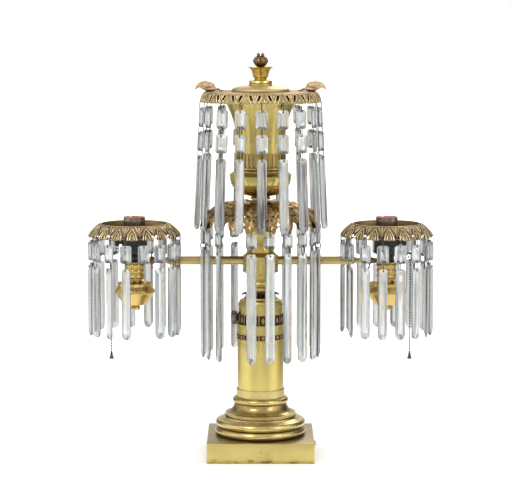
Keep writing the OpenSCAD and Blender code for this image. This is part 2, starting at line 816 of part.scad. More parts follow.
module arched_cut() {
    rotate_extrude($fn = turn_fn) intersection() {
        translate([canopy_r - canopy_arc_r, canopy_edge_z]) circle(r = canopy_arc_r + 0.05, $fn = turn_fn);
        translate([canopy_r - canopy_arc_r + 6, canopy_edge_z]) square([canopy_arc_r, canopy_h + 0.05]);
    }
}

module bird_left() {
    mirror([1, 0, 0]) bird_right();
}

// Lid and finial
module lid_dome() {
    skirt_z = lid_z - canopy_plate_t + body_gap;
    skirt_r = filler_r - body_gap;
    boss_z = lid_collar_z - 2.4;
    roof_r = skirt_r - lid_wall;
    roof_z = lid_z + 1;
    color("darkgoldenrod") turned(concat([[roof_r, skirt_z], [skirt_r, skirt_z],
        [skirt_r, lid_z], [lid_r, lid_z], [lid_r, lid_z + lid_rim_h]],
        [for (i = [1:6]) [lid_collar_r + (lid_r - lid_collar_r) * cos(i * 15),
            lid_z + lid_rim_h + (lid_h - lid_rim_h) * sin(i * 15)]],
        [[stud_hole_r, lid_collar_z], [stud_hole_r, boss_z]],
        [for (i = [4:-1:0]) [lid_collar_r + (roof_r - lid_collar_r) * cos(i * 22.5),
            roof_z + (boss_z - roof_z) * sin(i * 22.5)]]));
}

module lid_collar() {
    waist = lid_collar_h * 0.62;
    color("goldenrod") turned([[stud_hole_r, lid_collar_z], [lid_collar_r, lid_collar_z],
        [lid_collar_r, lid_collar_z + waist * 0.3], [lid_collar_r - 0.8, lid_collar_z + waist * 0.45],
        [lid_collar_r, lid_collar_z + waist * 0.6], [lid_collar_r - 0.6, lid_collar_z + waist],
        [lid_collar_r / 2 + 1.4, lid_collar_z + waist + 0.8], [lid_collar_r / 2, lid_collar_z + waist + 2],
        [lid_collar_r / 2 + 0.8, petal_z], [stud_hole_r, petal_z]]);
}

module finial_cup() {
    petals = 6;
    floor_h = petal_h * 0.35;
    color("goldenrod") difference() {
        turned([[stud_hole_r, petal_z], [bud_r * 0.72, petal_z], [bud_r, petal_z + 1.6],
            [bud_r + 1.6, petal_z + petal_h * 0.55], [bud_r + 3, petal_z + petal_h * 0.8],
            [petal_r, petal_z + petal_h - 0.8], [petal_r - 0.6, petal_z + petal_h],
            [bud_r + 1.8, petal_z + petal_h * 0.9], [bud_r - 0.6, petal_z + petal_h * 0.5],
            [bud_r - 2, petal_z + floor_h], [stud_hole_r, petal_z + floor_h]]);
        for (i = [0:petals - 1]) at_azimuth((i + 0.5) * 360 / petals, petal_r + 1, petal_z + petal_h * 0.7)
            cylinder(r = 2.6, h = petal_h, $fn = hole_fn);
    }
}

module finial_bud() {
    floor_z = petal_z + petal_h * 0.35;
    belly = bud_z + bud_h * 0.42;
    nubs = 4;
    nub_r = 2.4;
    color("saddlebrown") difference() {
        union() {
            turned([[0, floor_z], [5, floor_z], [5, bud_z - 1], [6, bud_z], [bud_r - 1.6, belly - 4.5],
                [bud_r, belly], [bud_r - 0.8, belly + 2.6], [bud_r * 0.62, bud_z + bud_h - 4],
                [bud_r * 0.42, bud_z + bud_h - 1.6], [0, bud_z + bud_h - 1.2]]);
            for (i = [0:nubs - 1]) at_azimuth((i + 0.5) * 360 / nubs, bud_r * 0.42, bud_z + bud_h - nub_r)
                sphere(r = nub_r, $fn = hole_fn);
        }
        translate([0, 0, floor_z - 1]) cylinder(r = stud_hole_r, h = belly - floor_z + 1, $fn = hole_fn);
    }
}

module lid_stud() {
    stud_z = lid_collar_z - 6;
    color("silver") union() {
        translate([0, 0, stud_z]) cylinder(r = stud_r, h = bud_z + bud_h * 0.42 - stud_z, $fn = hole_fn);
        translate([0, 0, stud_z]) cylinder(r = stud_r * 2.2, h = 3.6, $fn = 6);
    }
}

// Arms
module arm_right() {
    tip_x = arm_reach - arm_taper_to;
    taper_x = arm_reach - arm_taper_from;
    color("goldenrod") translate([0, 0, arm_z]) rotate([0, 90, 0])
        rotate_extrude($fn = hole_fn) polygon([[arm_r - arm_wall, arm_root], [arm_r, arm_root],
            [arm_r, taper_x], [arm_r - 1, taper_x + 0.8], [arm_tip_r, tip_x], [lead_hole_r, tip_x],
            [lead_hole_r, taper_x], [arm_r - arm_wall, taper_x - 3]]);
}

module arm_left() {
    mirror([1, 0, 0]) arm_right();
}

module arm_rings() {
    ring_w = 5;
    color("goldenrod") both_sides() translate([arm_reach - arm_ring_at - ring_w / 2, 0, arm_z])
        rotate([0, 90, 0]) difference() {
            cylinder(r = arm_ring_r, h = ring_w, $fn = hole_fn);
            translate([0, 0, -1]) cylinder(r = arm_r + fit_gap, h = ring_w + 2, $fn = hole_fn);
        }
}

module knuckle_right() {
    out_x = arm_reach - arm_taper_to;
    in_x = arm_reach - flange_r - fit_gap;
    len = in_x - out_x;
    scroll_r = 2.7;
    tongue_w = 6;
    color("saddlebrown") difference() {
        union() {
            translate([0, 0, arm_z]) rotate([0, 90, 0]) rotate_extrude($fn = hole_fn)
                polygon([[0, out_x], [3.4, out_x], [4.2, out_x + 1.4], [3, out_x + 2.8],
                    [4.6, out_x + len * 0.4], [5, out_x + len * 0.6], [3.8, out_x + len * 0.85],
                    [3.4, in_x], [0, in_x]]);
            for (side = [-1, 1]) translate([out_x + len * 0.5, 0, arm_z + side * 3.2]) rotate([90, 0, 0])
                cylinder(r = scroll_r, h = 6.4, center = true, $fn = hole_fn);
            translate([in_x - 1, -tongue_w / 2, burner_top])
                cube([flange_r + 1 - neck_out_r, tongue_w, arm_z + 3 - burner_top]);
        }
        translate([0, 0, arm_z]) rotate([0, 90, 0]) cylinder(r = lead_hole_r, h = arm_reach, $fn = hole_fn);
        at_burner() translate([0, 0, burner_top - 20])
            cylinder(r = neck_out_r + fit_gap, h = 40, $fn = turn_fn);
        at_burner() translate([0, 0, burner_top - 20])
            cylinder(r = flange_r + fit_gap, h = 20, $fn = turn_fn);
    }
}

module knuckle_left() {
    mirror([1, 0, 0]) knuckle_right();
}

module arm_leads() {
    start_x = pipe_r + lead_gap;
    color("black") both_sides() union() {
        translate([start_x, 0, arm_z]) rotate([0, 90, 0])
            cylinder(r = lead_r, h = arm_reach - start_x, $fn = hole_fn);
        translate([arm_reach, 0, arm_z]) sphere(r = lead_r, $fn = hole_fn);
        translate([arm_reach, 0, arm_z]) cylinder(r = lead_r, h = contact_z - arm_z, $fn = hole_fn);
    }
}

// Burner, drip cup and socket
module burner_right() {
    rings = 3;
    ring_h = (burner_top - flange_t - vent_top) / rings;
    bore = sleeve_r - 2.4;
    color("goldenrod") at_burner() difference() {
        union() {
            for (i = [0:rings - 1]) bead_ring(vent_top + ring_h * (i + 0.5), sleeve_r, ring_h / 2, bore);
            tube(vent_top, burner_top - flange_t - vent_top, sleeve_r - 0.8, bore);
            tube(burner_top - flange_t, flange_t, flange_r, draught_r);
            tube(vent_z, vent_h, vent_ring_r, draught_r - draught_wall);
            tube(vent_top, 2, sleeve_r - 1, draught_r - draught_wall);
            tube(cup_floor_z + cup_wall + body_gap, vent_z - cup_floor_z - cup_wall, draught_r,
                draught_r - draught_wall);
        }
        for (i = [0:vent_n - 1]) at_azimuth(i * 360 / vent_n, vent_ring_r - 1, vent_z + vent_h / 2)
            radial_hole(1.9, 6);
    }
}

module burner_left() {
    mirror([1, 0, 0]) burner_right();
}

module drip_cup_right() {
    bulge_z = cup_rim_z - cup_h * 0.4;
    boss_in = draught_r + slide_gap;
    knob_z = cup_floor_z - cup_knob_h;
    neck_r2 = cup_rim_r - 0.6;
    boss_out_r = boss_in + cup_boss_wall;
    color("goldenrod") at_burner() turned([[0, knob_z], [cup_knob_r - 1, knob_z],
        [cup_knob_r, knob_z + 1.4], [cup_knob_r - 1, cup_floor_z - 1.4], [cup_knob_r, cup_floor_z - 0.4],
        [cup_foot_r, cup_floor_z], [cup_r - 1.4, bulge_z - 2.6], [cup_r, bulge_z - 1],
        [cup_r, bulge_z + 1], [cup_r - 1, bulge_z + 2.8], [neck_r2, cup_rim_z - 4],
        [cup_rim_r, cup_rim_z], [cup_rim_r - cup_wall, cup_rim_z], [neck_r2 - cup_wall, cup_rim_z - 4],
        [cup_r - 1 - cup_wall, bulge_z + 2], [cup_r - cup_wall, bulge_z],
        [cup_r - 1.4 - cup_wall, bulge_z - 2], [cup_foot_r - cup_wall, cup_floor_z + cup_wall],
        [boss_out_r, cup_floor_z + cup_wall], [boss_out_r, cup_floor_z + cup_boss_h],
        [boss_in, cup_floor_z + cup_boss_h], [boss_in, cup_floor_z + cup_wall],
        [0, cup_floor_z + cup_wall]]);
}

module drip_cup_left() {
    mirror([1, 0, 0]) drip_cup_right();
}

module socket_right() {
    cone_z = socket_z + socket_neck_h + socket_cone_h;
    color("darkslategray") at_burner() difference() {
        union() {
            turned([[0, socket_z], [neck_out_r, socket_z], [neck_out_r, socket_z + socket_neck_h],
                [socket_r, cone_z], [socket_r, seat_z], [socket_collar_r, seat_z],
                [socket_collar_r, socket_top], [0, socket_top]]);
            translate([0, 0, guide_z]) rotate([0, 90, 0]) cylinder(r = 2.6, h = chain_guide_x, $fn = hole_fn);
            translate([chain_guide_x, 0, guide_z - guide_h / 2])
                cylinder(r = guide_r, h = guide_h, $fn = hole_fn);
        }
        translate([0, 0, socket_floor_z]) cylinder(r = collar_bore_r, h = 80, $fn = turn_fn);
        translate([0, 0, contact_z])
            cylinder(r = contact_r + fit_gap, h = contact_pocket_h + 1, $fn = hole_fn);
        translate([0, 0, socket_z - 1])
            cylinder(r = neck_out_r - socket_wall, h = socket_hollow_h + 1, $fn = turn_fn);
        cylinder(r = lead_hole_r, h = socket_floor_z + 1, $fn = hole_fn);
        translate([-neck_out_r - 1, 0, arm_z]) rotate([0, 90, 0])
            cylinder(r = lead_hole_r, h = neck_out_r, $fn = hole_fn);
        translate([chain_guide_x, 0, guide_z - guide_h])
            cylinder(r = guide_bore_r, h = 2 * guide_h, $fn = hole_fn);
    }
}

module socket_left() {
    mirror([1, 0, 0]) socket_right();
}

module screw_shell_right() {
    color("peru") at_burner() tube(socket_floor_z, socket_top - socket_floor_z, shell_out_r, shell_r);
}

module screw_shell_left() {
    mirror([1, 0, 0]) screw_shell_right();
}

module socket_contacts() {
    color("peru") both_sides() at_burner() translate([0, 0, contact_z]) union() {
        cylinder(r = contact_r, h = contact_h, $fn = hole_fn);
        translate([0, 0, contact_h])
            cylinder(r1 = contact_r - 1, r2 = contact_r - 3, h = contact_h, $fn = hole_fn);
    }
}

module gallery_ring() {
    arc_x = gallery_r - gallery_h;
    hole_z = gallery_z + 8.6;
    color("darkgoldenrod") difference() {
        union() {
            arched_shell(arc_x, gallery_z, gallery_h, gallery_t, gallery_z,
                min(arc_x, crest_ring_r - crest_wall / 2));
            tube(seat_z, gallery_crest_z + 0.4 - seat_z, crest_ring_r, crest_ring_r - crest_wall);
            tube(seat_z, spider_t, crest_ring_r - crest_wall + 0.5, ledge_r);
            tube(seat_z, spider_t, socket_r, socket_collar_r + fit_gap);
            for (i = [0:spider_n - 1]) rotate([0, 0, (i + 0.5) * 360 / spider_n])
                translate([socket_collar_r + 1.2, -spider_w / 2, seat_z])
                    cube([ledge_r - socket_collar_r, spider_w, spider_t]);
        }
        for (i = [0:gallery_n - 1]) {
            at_azimuth(gallery_azimuth(i), gallery_hang_r, gallery_hang_z) radial_hole(pin_hole_r, 8);
            at_azimuth(i * 360 / gallery_n, gallery_r, gallery_z - 1.4) radial_hole(3.4, 10);
            at_azimuth(i * 360 / gallery_n, gallery_r - 1, hole_z) radial_hole(1.5, 10);
        }
    }
}

module gallery_right() {
    at_burner() gallery_ring();
}

module gallery_left() {
    translate([-arm_reach, 0, 0]) gallery_ring();
}

// The chain leaves its guide straight down and swings out to its hanging line
function chain_x(drop) =
    drop < guide_h ? chain_guide_x
    : drop > guide_h + chain_bend_len ? chain_hang_x
    : chain_guide_x + (chain_hang_x - chain_guide_x) * (1 - cos((drop - guide_h) / chain_bend_len * 180)) / 2;

// Beads hang from z = 0 down, with the wire running on past the last one
function bead_outline(i) = [for (p = [[chain_wire_r, -1.2], [0.95, -0.9], [1, -0.45], [1, 0.45], [0.95, 0.9],
    [chain_wire_r, 1.2]]) [p.x == chain_wire_r ? p.x : p.x * chain_bead_r * (abs(p.y) < 0.5 ? 1 : 0.72),
    p.y * chain_bead_r / 1.3 - i * chain_pitch]];

module bead_run(count, tail) {
    rotate_extrude($fn = bead_fn) polygon(concat([[0, tail]],
        tail < 0 ? [[chain_wire_r, tail]] : [],
        [for (i = [count - 1:-1:0]) each bead_outline(i)], [[0, chain_bead_r]]));
}

module pull_chain_right() {
    first = ceil((guide_h + chain_bend_len) / chain_pitch);
    end_z = chain_top_z - (bead_n - 1) * chain_pitch;
    color("gray") at_burner() union() {
        for (i = [0:first - 1]) {
            here = [chain_x(i * chain_pitch), chain_top_z - i * chain_pitch];
            next = [chain_x((i + 1) * chain_pitch), chain_top_z - (i + 1) * chain_pitch];
            translate([here.x, 0, here.y]) rotate([0, -atan2(next.x - here.x, here.y - next.y), 0])
                bead_run(1, -norm(next - here));
        }
        translate([chain_hang_x, 0, chain_top_z - first * chain_pitch])
            bead_run(bead_n - first, end_z - bell_h - chain_top_z + first * chain_pitch);
        translate([chain_hang_x, 0, end_z - bell_h - chain_bead_r]) rotate_extrude($fn = hole_fn)
            polygon([[0, 0], [bell_r, 0], [bell_r, 1.2], [bell_r * 0.62, bell_h * 0.45],
                [bell_r * 0.4, bell_h], [0, bell_h + 0.4]]);
    }
}

module pull_chain_left() {
    mirror([1, 0, 0]) pull_chain_right();
}

// Cut glass: a front outline, a side outline and a plan outline cut one facetted piece
module cut_glass(w, h, front, tip_h) {
    half = rim_t / 2;
    belly = glass_t / 2;
    top_h = 8;
    low_h = max(tip_h, 8);
    intersection() {
        rotate([90, 0, 0]) linear_extrude(glass_t + 2, center = true) polygon(front);
        rotate([90, 0, 90]) linear_extrude(w + 2, center = true)
            polygon([[-half, 0], [half, 0], [belly, low_h], [belly, h - top_h], [half, h],
                [-half, h], [-belly, h - top_h], [-belly, low_h]]);
        linear_extrude(h) polygon([[-w / 2, -half], [-w / 4, -belly], [w / 4, -belly], [w / 2, -half],
            [w / 2, half], [w / 4, belly], [-w / 4, belly], [-w / 2, half]]);
    }
}

module glass_button(w, h) {
    corner = 2.4;
    front = [[-w / 2 + corner, 0], [w / 2 - corner, 0], [w / 2, corner], [w / 2, h - corner],
        [w / 2 - corner, h], [-w / 2 + corner, h], [-w / 2, h - corner], [-w / 2, corner]];
    difference() {
        cut_glass(w, h, front, 8);
        for (z = [hole_inset, h - hole_inset]) translate([0, 0, z]) radial_hole(pin_hole_r, glass_t + 2);
    }
}

module glass_drop(w, h) {
    tip_h = w * 0.9;
    front = [[-w * 0.12, 0], [w * 0.12, 0], [w * 0.36, tip_h * 0.4], [w / 2, tip_h], [w / 2, h - 3],
        [w * 0.34, h], [-w * 0.34, h], [-w / 2, h - 3], [-w / 2, tip_h], [-w * 0.36, tip_h * 0.4]];
    difference() {
        cut_glass(w, h, front, tip_h);
        translate([0, 0, h - hole_inset]) radial_hole(pin_hole_r, glass_t + 2);
    }
}

module link_outline(grow) {
    for (z = [link_w, link_h - link_w]) translate([0, z]) circle(r = link_w + grow, $fn = 24);
    translate([-link_w - grow, link_w]) square([2 * (link_w + grow), link_h - 2 * link_w]);
}

module wire_link(z_top) {
    translate([-wire_r, 0, z_top - link_h]) rotate([90, 0, 90]) linear_extrude(2 * wire_r) difference() {
        link_outline(wire_r);
        link_outline(-wire_r);
    }
}

// A canopy strand leans outwards about its pin hole
module at_canopy_strand(i) {
    at_azimuth(canopy_azimuth(i), canopy_hang_r, canopy_hang_z) rotate([-canopy_lean, 0, 0])
        children();
}

function canopy_twist(i) = twist(i, 137, 22);
canopy_lower_top = -button_drop - canopy_button_h - strand_gap;
canopy_drop_top = canopy_lower_top - canopy_button_h - strand_gap;
canopy_reach = canopy_drop_h - canopy_drop_top;
canopy_lean = max(0, asin((corona_r + corona_clear - canopy_hang_r) / canopy_reach));

module canopy_upper_buttons() {
    color("lightcyan") for (i = [0:canopy_n - 1]) at_canopy_strand(i)
        translate([0, 0, -button_drop - canopy_button_h]) rotate([0, 0, canopy_twist(i) / 2])
            glass_button(canopy_button_w, canopy_button_h);
}

module canopy_lower_buttons() {
    color("lightcyan") for (i = [0:canopy_n - 1]) at_canopy_strand(i)
        translate([0, 0, canopy_lower_top - canopy_button_h]) rotate([0, 0, canopy_twist(i)])
            glass_button(canopy_button_w, canopy_button_h);
}

module canopy_drops() {
    color("lightcyan") for (i = [0:canopy_n - 1]) at_canopy_strand(i)
        translate([0, 0, canopy_drop_top - canopy_drop_h]) rotate([0, 0, canopy_twist(i) * 1.5])
            glass_drop(drop_w, canopy_drop_h);
}

function corona_twist(i) = near_arm(corona_azimuth(i)) ? 0 : twist(i, 101, 24);
corona_places = [for (i = [0:corona_n - 1]) if (abs(corona_azimuth(i) - lost_corona_strand) > 1) i];
corona_drop_top = -button_drop - corona_button_h - strand_gap;

module at_corona_strand(i) {
    at_azimuth(corona_azimuth(i), corona_hang_r, corona_hang_z) children();
}

module corona_buttons() {
    color("lightcyan") for (i = corona_places) at_corona_strand(i)
        translate([0, 0, -button_drop - corona_button_h]) rotate([0, 0, corona_twist(i) / 2])
            glass_button(corona_button_w, corona_button_h);
}

module corona_drops() {
    color("lightcyan") for (i = corona_places) at_corona_strand(i)
        translate([0, 0, corona_drop_top - corona_drop_h]) rotate([0, 0, corona_twist(i)])
            glass_drop(drop_w, corona_drop_h);
}

function gallery_twist(i, side) = near_arm(gallery_azimuth(i)) ? 0 : twist(i + 3 * side, 83, 30);
gallery_drop_top = -button_drop - gallery_button_h - strand_gap;

module at_gallery_strand(i, side) {
    translate([side * arm_reach, 0, 0])
        at_azimuth(gallery_azimuth(i), gallery_hang_r, gallery_hang_z) children();
}

function drop_is_lost(i, side) =
    abs(turn_to((i + 0.5) * 360 / gallery_n) - (side < 0 ? lost_left_drop : lost_right_drop)) < 8;

module gallery_buttons() {
    color("lightcyan") for (side = [-1, 1]) for (i = [0:gallery_n - 1]) at_gallery_strand(i, side)
        translate([0, 0, -button_drop - gallery_button_h]) rotate([0, 0, gallery_twist(i, side) / 2])
            glass_button(gallery_button_w, gallery_button_h);
}

module gallery_drops() {
    color("lightcyan") for (side = [-1, 1]) for (i = [0:gallery_n - 1]) if (!drop_is_lost(i, side))
        at_gallery_strand(i, side) translate([0, 0, gallery_drop_top - gallery_drop_h])
            rotate([0, 0, gallery_twist(i, side)]) glass_drop(drop_w, gallery_drop_h);
}

module pin_links() {
    color("dimgray") {
        for (i = [0:canopy_n - 1]) at_canopy_strand(i) {
            rotate([0, 0, canopy_twist(i) / 4]) wire_link(0);
            rotate([0, 0, canopy_twist(i) * 0.75]) wire_link(canopy_lower_top + strand_gap + hole_inset);
            rotate([0, 0, canopy_twist(i) * 1.25]) wire_link(canopy_drop_top + strand_gap + hole_inset);
        }
        for (i = corona_places) at_corona_strand(i) {
            rotate([0, 0, corona_twist(i) / 4]) wire_link(0);
            rotate([0, 0, corona_twist(i) * 0.75]) wire_link(corona_drop_top + strand_gap + hole_inset);
        }
        for (side = [-1, 1]) for (i = [0:gallery_n - 1]) at_gallery_strand(i, side) {
            rotate([0, 0, gallery_twist(i, side) / 4]) wire_link(0);
            if (!drop_is_lost(i, side)) rotate([0, 0, gallery_twist(i, side) * 0.75])
                wire_link(gallery_drop_top + strand_gap + hole_inset);
        }
    }
}

plinth();
cord_bushing();
base_rod();
base_nuts();
bead_moulding();
flared_moulding();
column_foot();
column_tube();
lower_band();
column_collar();
upper_band();
clamp_screw();
slide_tube();
shoulder_cap();
leaf_crest();
turned_neck();
arm_hub();
stem();
stem_calyx();
corona();
feed_pipe();
font_bowl();
reeded_band();
font_body();
oil_tank();
canopy();
bird_left();
bird_right();
lid_dome();
lid_collar();
finial_cup();
finial_bud();
lid_stud();
arm_left();
arm_right();
arm_rings();
knuckle_left();
knuckle_right();
arm_leads();
burner_left();
burner_right();
drip_cup_left();
drip_cup_right();
socket_left();
socket_right();
screw_shell_left();
screw_shell_right();
socket_contacts();
gallery_left();
gallery_right();
pull_chain_left();
pull_chain_right();
canopy_upper_buttons();
canopy_lower_buttons();
canopy_drops();
corona_buttons();
corona_drops();
gallery_buttons();
gallery_drops();
pin_links();
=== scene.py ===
from math import asin, copysign, cos, degrees, hypot, pi, radians, sin

import bmesh
import bpy
from mathutils import Euler, Matrix, Vector


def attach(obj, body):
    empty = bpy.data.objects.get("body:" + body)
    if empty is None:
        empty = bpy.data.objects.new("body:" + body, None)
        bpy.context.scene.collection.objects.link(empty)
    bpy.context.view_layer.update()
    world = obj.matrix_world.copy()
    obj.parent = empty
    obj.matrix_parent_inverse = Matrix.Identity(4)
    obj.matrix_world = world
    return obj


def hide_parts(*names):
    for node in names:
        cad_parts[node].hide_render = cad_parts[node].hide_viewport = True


# Brass table lamp with two burner arms and hanging cut glass. Sizes in the dictionaries are in mm,
# and outlines are (radius, height) pairs.

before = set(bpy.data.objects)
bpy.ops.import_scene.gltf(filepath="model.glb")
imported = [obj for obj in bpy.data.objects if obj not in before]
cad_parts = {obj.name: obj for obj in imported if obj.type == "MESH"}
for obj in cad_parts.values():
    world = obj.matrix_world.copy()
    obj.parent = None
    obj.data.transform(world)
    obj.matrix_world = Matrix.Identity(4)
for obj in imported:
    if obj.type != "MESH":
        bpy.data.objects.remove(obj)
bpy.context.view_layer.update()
mm = 0.001

cameraSet = {"place": (-0.0063, -3.010, 0.633), "lookDown": 6.53, "lens": 153.35, "sensor": 36}   # place in m

cameraData = bpy.data.cameras.new("photoCamera")
cameraData.lens = cameraSet["lens"]
cameraData.sensor_width = cameraSet["sensor"]
camera = bpy.data.objects.new("photoCamera", cameraData)
camera.location = cameraSet["place"]
camera.rotation_euler = (radians(90 - cameraSet["lookDown"]), 0, 0)
bpy.context.scene.collection.objects.link(camera)
bpy.context.scene.camera = camera
print("camera placed")


def plug(tree, value, socket):
    if isinstance(value, bpy.types.NodeSocket):
        tree.links.new(value, socket)
    elif socket.type == "RGBA" and len(value) == 3:
        socket.default_value = (*value, 1)
    else:
        socket.default_value = value


def setInputs(tree, node, inputs):
    for name, value in inputs.items():
        plug(tree, value, node.inputs[name])


def addNode(tree, kind, inputs=None, **settings):
    # nodes stand in a row, in the order in which they are made
    node = tree.nodes.new(kind)
    node.location = (200 * len(tree.nodes) - 1000, 0)
    for key, value in settings.items():
        setattr(node, key, value)
    setInputs(tree, node, inputs or {})
    return node


def mixColour(tree, factor, first, second):
    # sockets 0, 6 and 7 are the colour ones of a Mix node, and 2 is its colour output
    return addNode(tree, "ShaderNodeMix", {0: factor, 6: first, 7: second}, data_type="RGBA").outputs[2]


def doMath(tree, operation, first, second=0.0, clamp=False):
    node = addNode(tree, "ShaderNodeMath", {0: first, 1: second}, operation=operation, use_clamp=clamp)
    return node.outputs[0]


def noiseOf(tree, vector, scale, detail=3.0, rough=0.55):
    return addNode(tree, "ShaderNodeTexNoise", {"Vector": vector, "Scale": scale, "Detail": detail,
                                                "Roughness": rough}).outputs["Fac"]


def stretched(tree, vector, scale, rotation=(0, 0, 0)):
    return addNode(tree, "ShaderNodeMapping", {"Vector": vector, "Rotation": rotation,
                                               "Scale": scale}).outputs["Vector"]


def between(tree, value, low, high, toLow=0.0, toHigh=1.0):
    node = addNode(tree, "ShaderNodeMapRange", {"Value": value, "From Min": low, "From Max": high,
                                                "To Min": toLow, "To Max": toHigh}, clamp=True)
    return node.outputs["Result"]


def partOf(tree, vector, axis):
    return addNode(tree, "ShaderNodeSeparateXYZ", {0: vector}).outputs[axis]


def newGroup(name, inputs, outputs):
    tree = bpy.data.node_groups.new(name, "ShaderNodeTree")
    for way, sockets in (("INPUT", inputs), ("OUTPUT", outputs)):
        for label, kind in sockets.items():
            tree.interface.new_socket(name=label, in_out=way, socket_type="NodeSocket" + kind)
    return tree, addNode(tree, "NodeGroupInput").outputs, addNode(tree, "NodeGroupOutput")


def makeAgedMetal():
    # tarnish that gathers in hollows, runs down in streaks and clouds the open faces
    tree, given, made = newGroup("agedMetal", {
        "Vector": "Vector", "Clean": "Color", "Tarnish": "Color", "Cloud": "Float", "Hollow": "Float",
        "Streak": "Float", "Smooth": "Float", "Dull": "Float"}, {"Color": "Color", "Roughness": "Float"})
    vector = given["Vector"]
    clouds = between(tree, noiseOf(tree, vector, 26, 6, 0.62), 0.45, 0.72)
    streaks = between(tree, noiseOf(tree, stretched(tree, vector, (1, 1, 0.12)), 150), 0.5, 0.72)
    openness = addNode(tree, "ShaderNodeAmbientOcclusion", {"Distance": 8 * mm}, samples=8).outputs["AO"]
    mask = doMath(tree, "MULTIPLY", clouds, given["Cloud"])
    for spots, share in ((streaks, "Streak"), (between(tree, openness, 0.86, 0.35), "Hollow")):
        mask = doMath(tree, "ADD", mask, doMath(tree, "MULTIPLY", spots, given[share]))
    speck = between(tree, noiseOf(tree, vector, 900, 2), 0.35, 0.65, 0.85, 1.1)
    mask = doMath(tree, "MULTIPLY", mask, speck, clamp=True)
    rough = between(tree, mask, 0, 1, given["Smooth"], given["Dull"])
    smear = between(tree, noiseOf(tree, vector, 45), 0.35, 0.7, -0.03, 0.05)
    setInputs(tree, made, {"Color": mixColour(tree, mask, given["Clean"], given["Tarnish"]),
                           "Roughness": doMath(tree, "ADD", rough, smear, clamp=True)})
    return tree


def makeFineScratches():
    # long thin lines round a turned piece, or along a flat one, with a few deeper ones across
    tree, given, made = newGroup("fineScratches", {"Vector": "Vector", "Along": "Vector"},
                                 {"Height": "Float"})
    scaled = addNode(tree, "ShaderNodeVectorMath", {0: given["Vector"], 1: given["Along"]},
                     operation="MULTIPLY")
    lines = noiseOf(tree, scaled.outputs[0], 1.0, 4)
    across = stretched(tree, given["Vector"], (14, 300, 40), (0.3, 0.7, 0.4))
    nicks = doMath(tree, "MULTIPLY", between(tree, noiseOf(tree, across, 1.0, 2), 0.66, 0.7), 0.4)
    setInputs(tree, made, {"Height": doMath(tree, "SUBTRACT", lines, nicks)})
    return tree


def makeCastGrain():
    # the sandy, punched surface of matt cast brass
    tree, given, made = newGroup("castGrain", {"Vector": "Vector", "Scale": "Float"}, {"Height": "Float"})
    cells = addNode(tree, "ShaderNodeTexVoronoi", {"Vector": given["Vector"], "Scale": given["Scale"]})
    grit = doMath(tree, "MULTIPLY", noiseOf(tree, given["Vector"], 2600), 0.6)
    setInputs(tree, made, {"Height": doMath(tree, "ADD", cells.outputs["Distance"], grit)})
    return tree


def makeFacetBands():
    # upright bands of pale and grey light with a little brown and violet, as facets throw them
    tree, given, made = newGroup("facetBands", {"Vector": "Vector", "Pale": "Color", "Deep": "Color",
                                                "Tint": "Float", "Smooth": "Float"},
                                 {"Color": "Color", "Roughness": "Float"})
    vector = given["Vector"]
    bands = between(tree, noiseOf(tree, stretched(tree, vector, (1, 1, 0.03)), 260, 2, 0.5), 0.48, 0.58)
    colour = mixColour(tree, bands, given["Pale"], given["Deep"])
    for squeeze, scale, low, high, tint in ((0.06, 95, 0.56, 0.66, (0.42, 0.33, 0.24)),
                                            (0.05, 120, 0.62, 0.7, (0.36, 0.36, 0.54))):
        spots = between(tree, noiseOf(tree, stretched(tree, vector, (1, 1, squeeze)), scale, 1), low, high)
        colour = mixColour(tree, doMath(tree, "MULTIPLY", spots, given["Tint"]), colour, tint)
    smear = between(tree, noiseOf(tree, vector, 260), 0.5, 0.8, 0, 0.06)
    setInputs(tree, made, {"Color": colour, "Roughness": doMath(tree, "ADD", given["Smooth"], smear)})
    return tree


agedMetal, fineScratches, castGrain = makeAgedMetal(), makeFineScratches(), makeCastGrain()
facetBands = makeFacetBands()


def useGroup(tree, group, **values):
    node = addNode(tree, "ShaderNodeGroup", node_tree=group)
    setInputs(tree, node, values)
    return node.outputs


def bumped(tree, height, strength):
    bump = addNode(tree, "ShaderNodeBump", {"Height": height, "Strength": strength, "Distance": 0.2 * mm})
    return bump.outputs["Normal"]


def startMaterial(name):
    material = bpy.data.materials.new(name)
    material.use_nodes = True
    tree = material.node_tree
    coords = addNode(tree, "ShaderNodeTexCoord")
    return material, tree, tree.nodes["Principled BSDF"], coords.outputs["Object"]


def metalMaterial(name, clean, tarnish, spread, gloss, grain=None, scratch=(8, 8, 900), depth=0.2,
                  upFacingColour=None, footWear=None):
    # spread is how far clouds, hollows and streaks of tarnish go, gloss the roughness of clean and tarnished
    material, tree, shader, place = startMaterial(name)
    aged = useGroup(tree, agedMetal, Vector=place, Clean=clean, Tarnish=tarnish, Cloud=spread[0],
                    Hollow=spread[1], Streak=spread[2], Smooth=gloss[0], Dull=gloss[1])
    colour = aged["Color"]
    if upFacingColour:
        # faces that look up are given a darker, greyer colour
        upward = partOf(tree, addNode(tree, "ShaderNodeNewGeometry").outputs["Normal"], "Z")
        colour = mixColour(tree, between(tree, upward, 0.85, 0.98, 0, 0.8), colour, upFacingColour)
    if footWear:
        worn = between(tree, noiseOf(tree, stretched(tree, place, (1, 1, 3)), 55, 5), 0.5, 0.62)
        low = between(tree, partOf(tree, place, "Z"), 7 * mm, 2 * mm)
        colour = mixColour(tree, doMath(tree, "MULTIPLY", worn, low), colour, footWear)
    if grain:
        surface = useGroup(tree, castGrain, Vector=place, Scale=grain)
    else:
        surface = useGroup(tree, fineScratches, Vector=place, Along=scratch)
    setInputs(tree, shader, {"Base Color": colour, "Roughness": aged["Roughness"], "Metallic": 1.0,
                             "Normal": bumped(tree, surface["Height"], depth)})
    return material


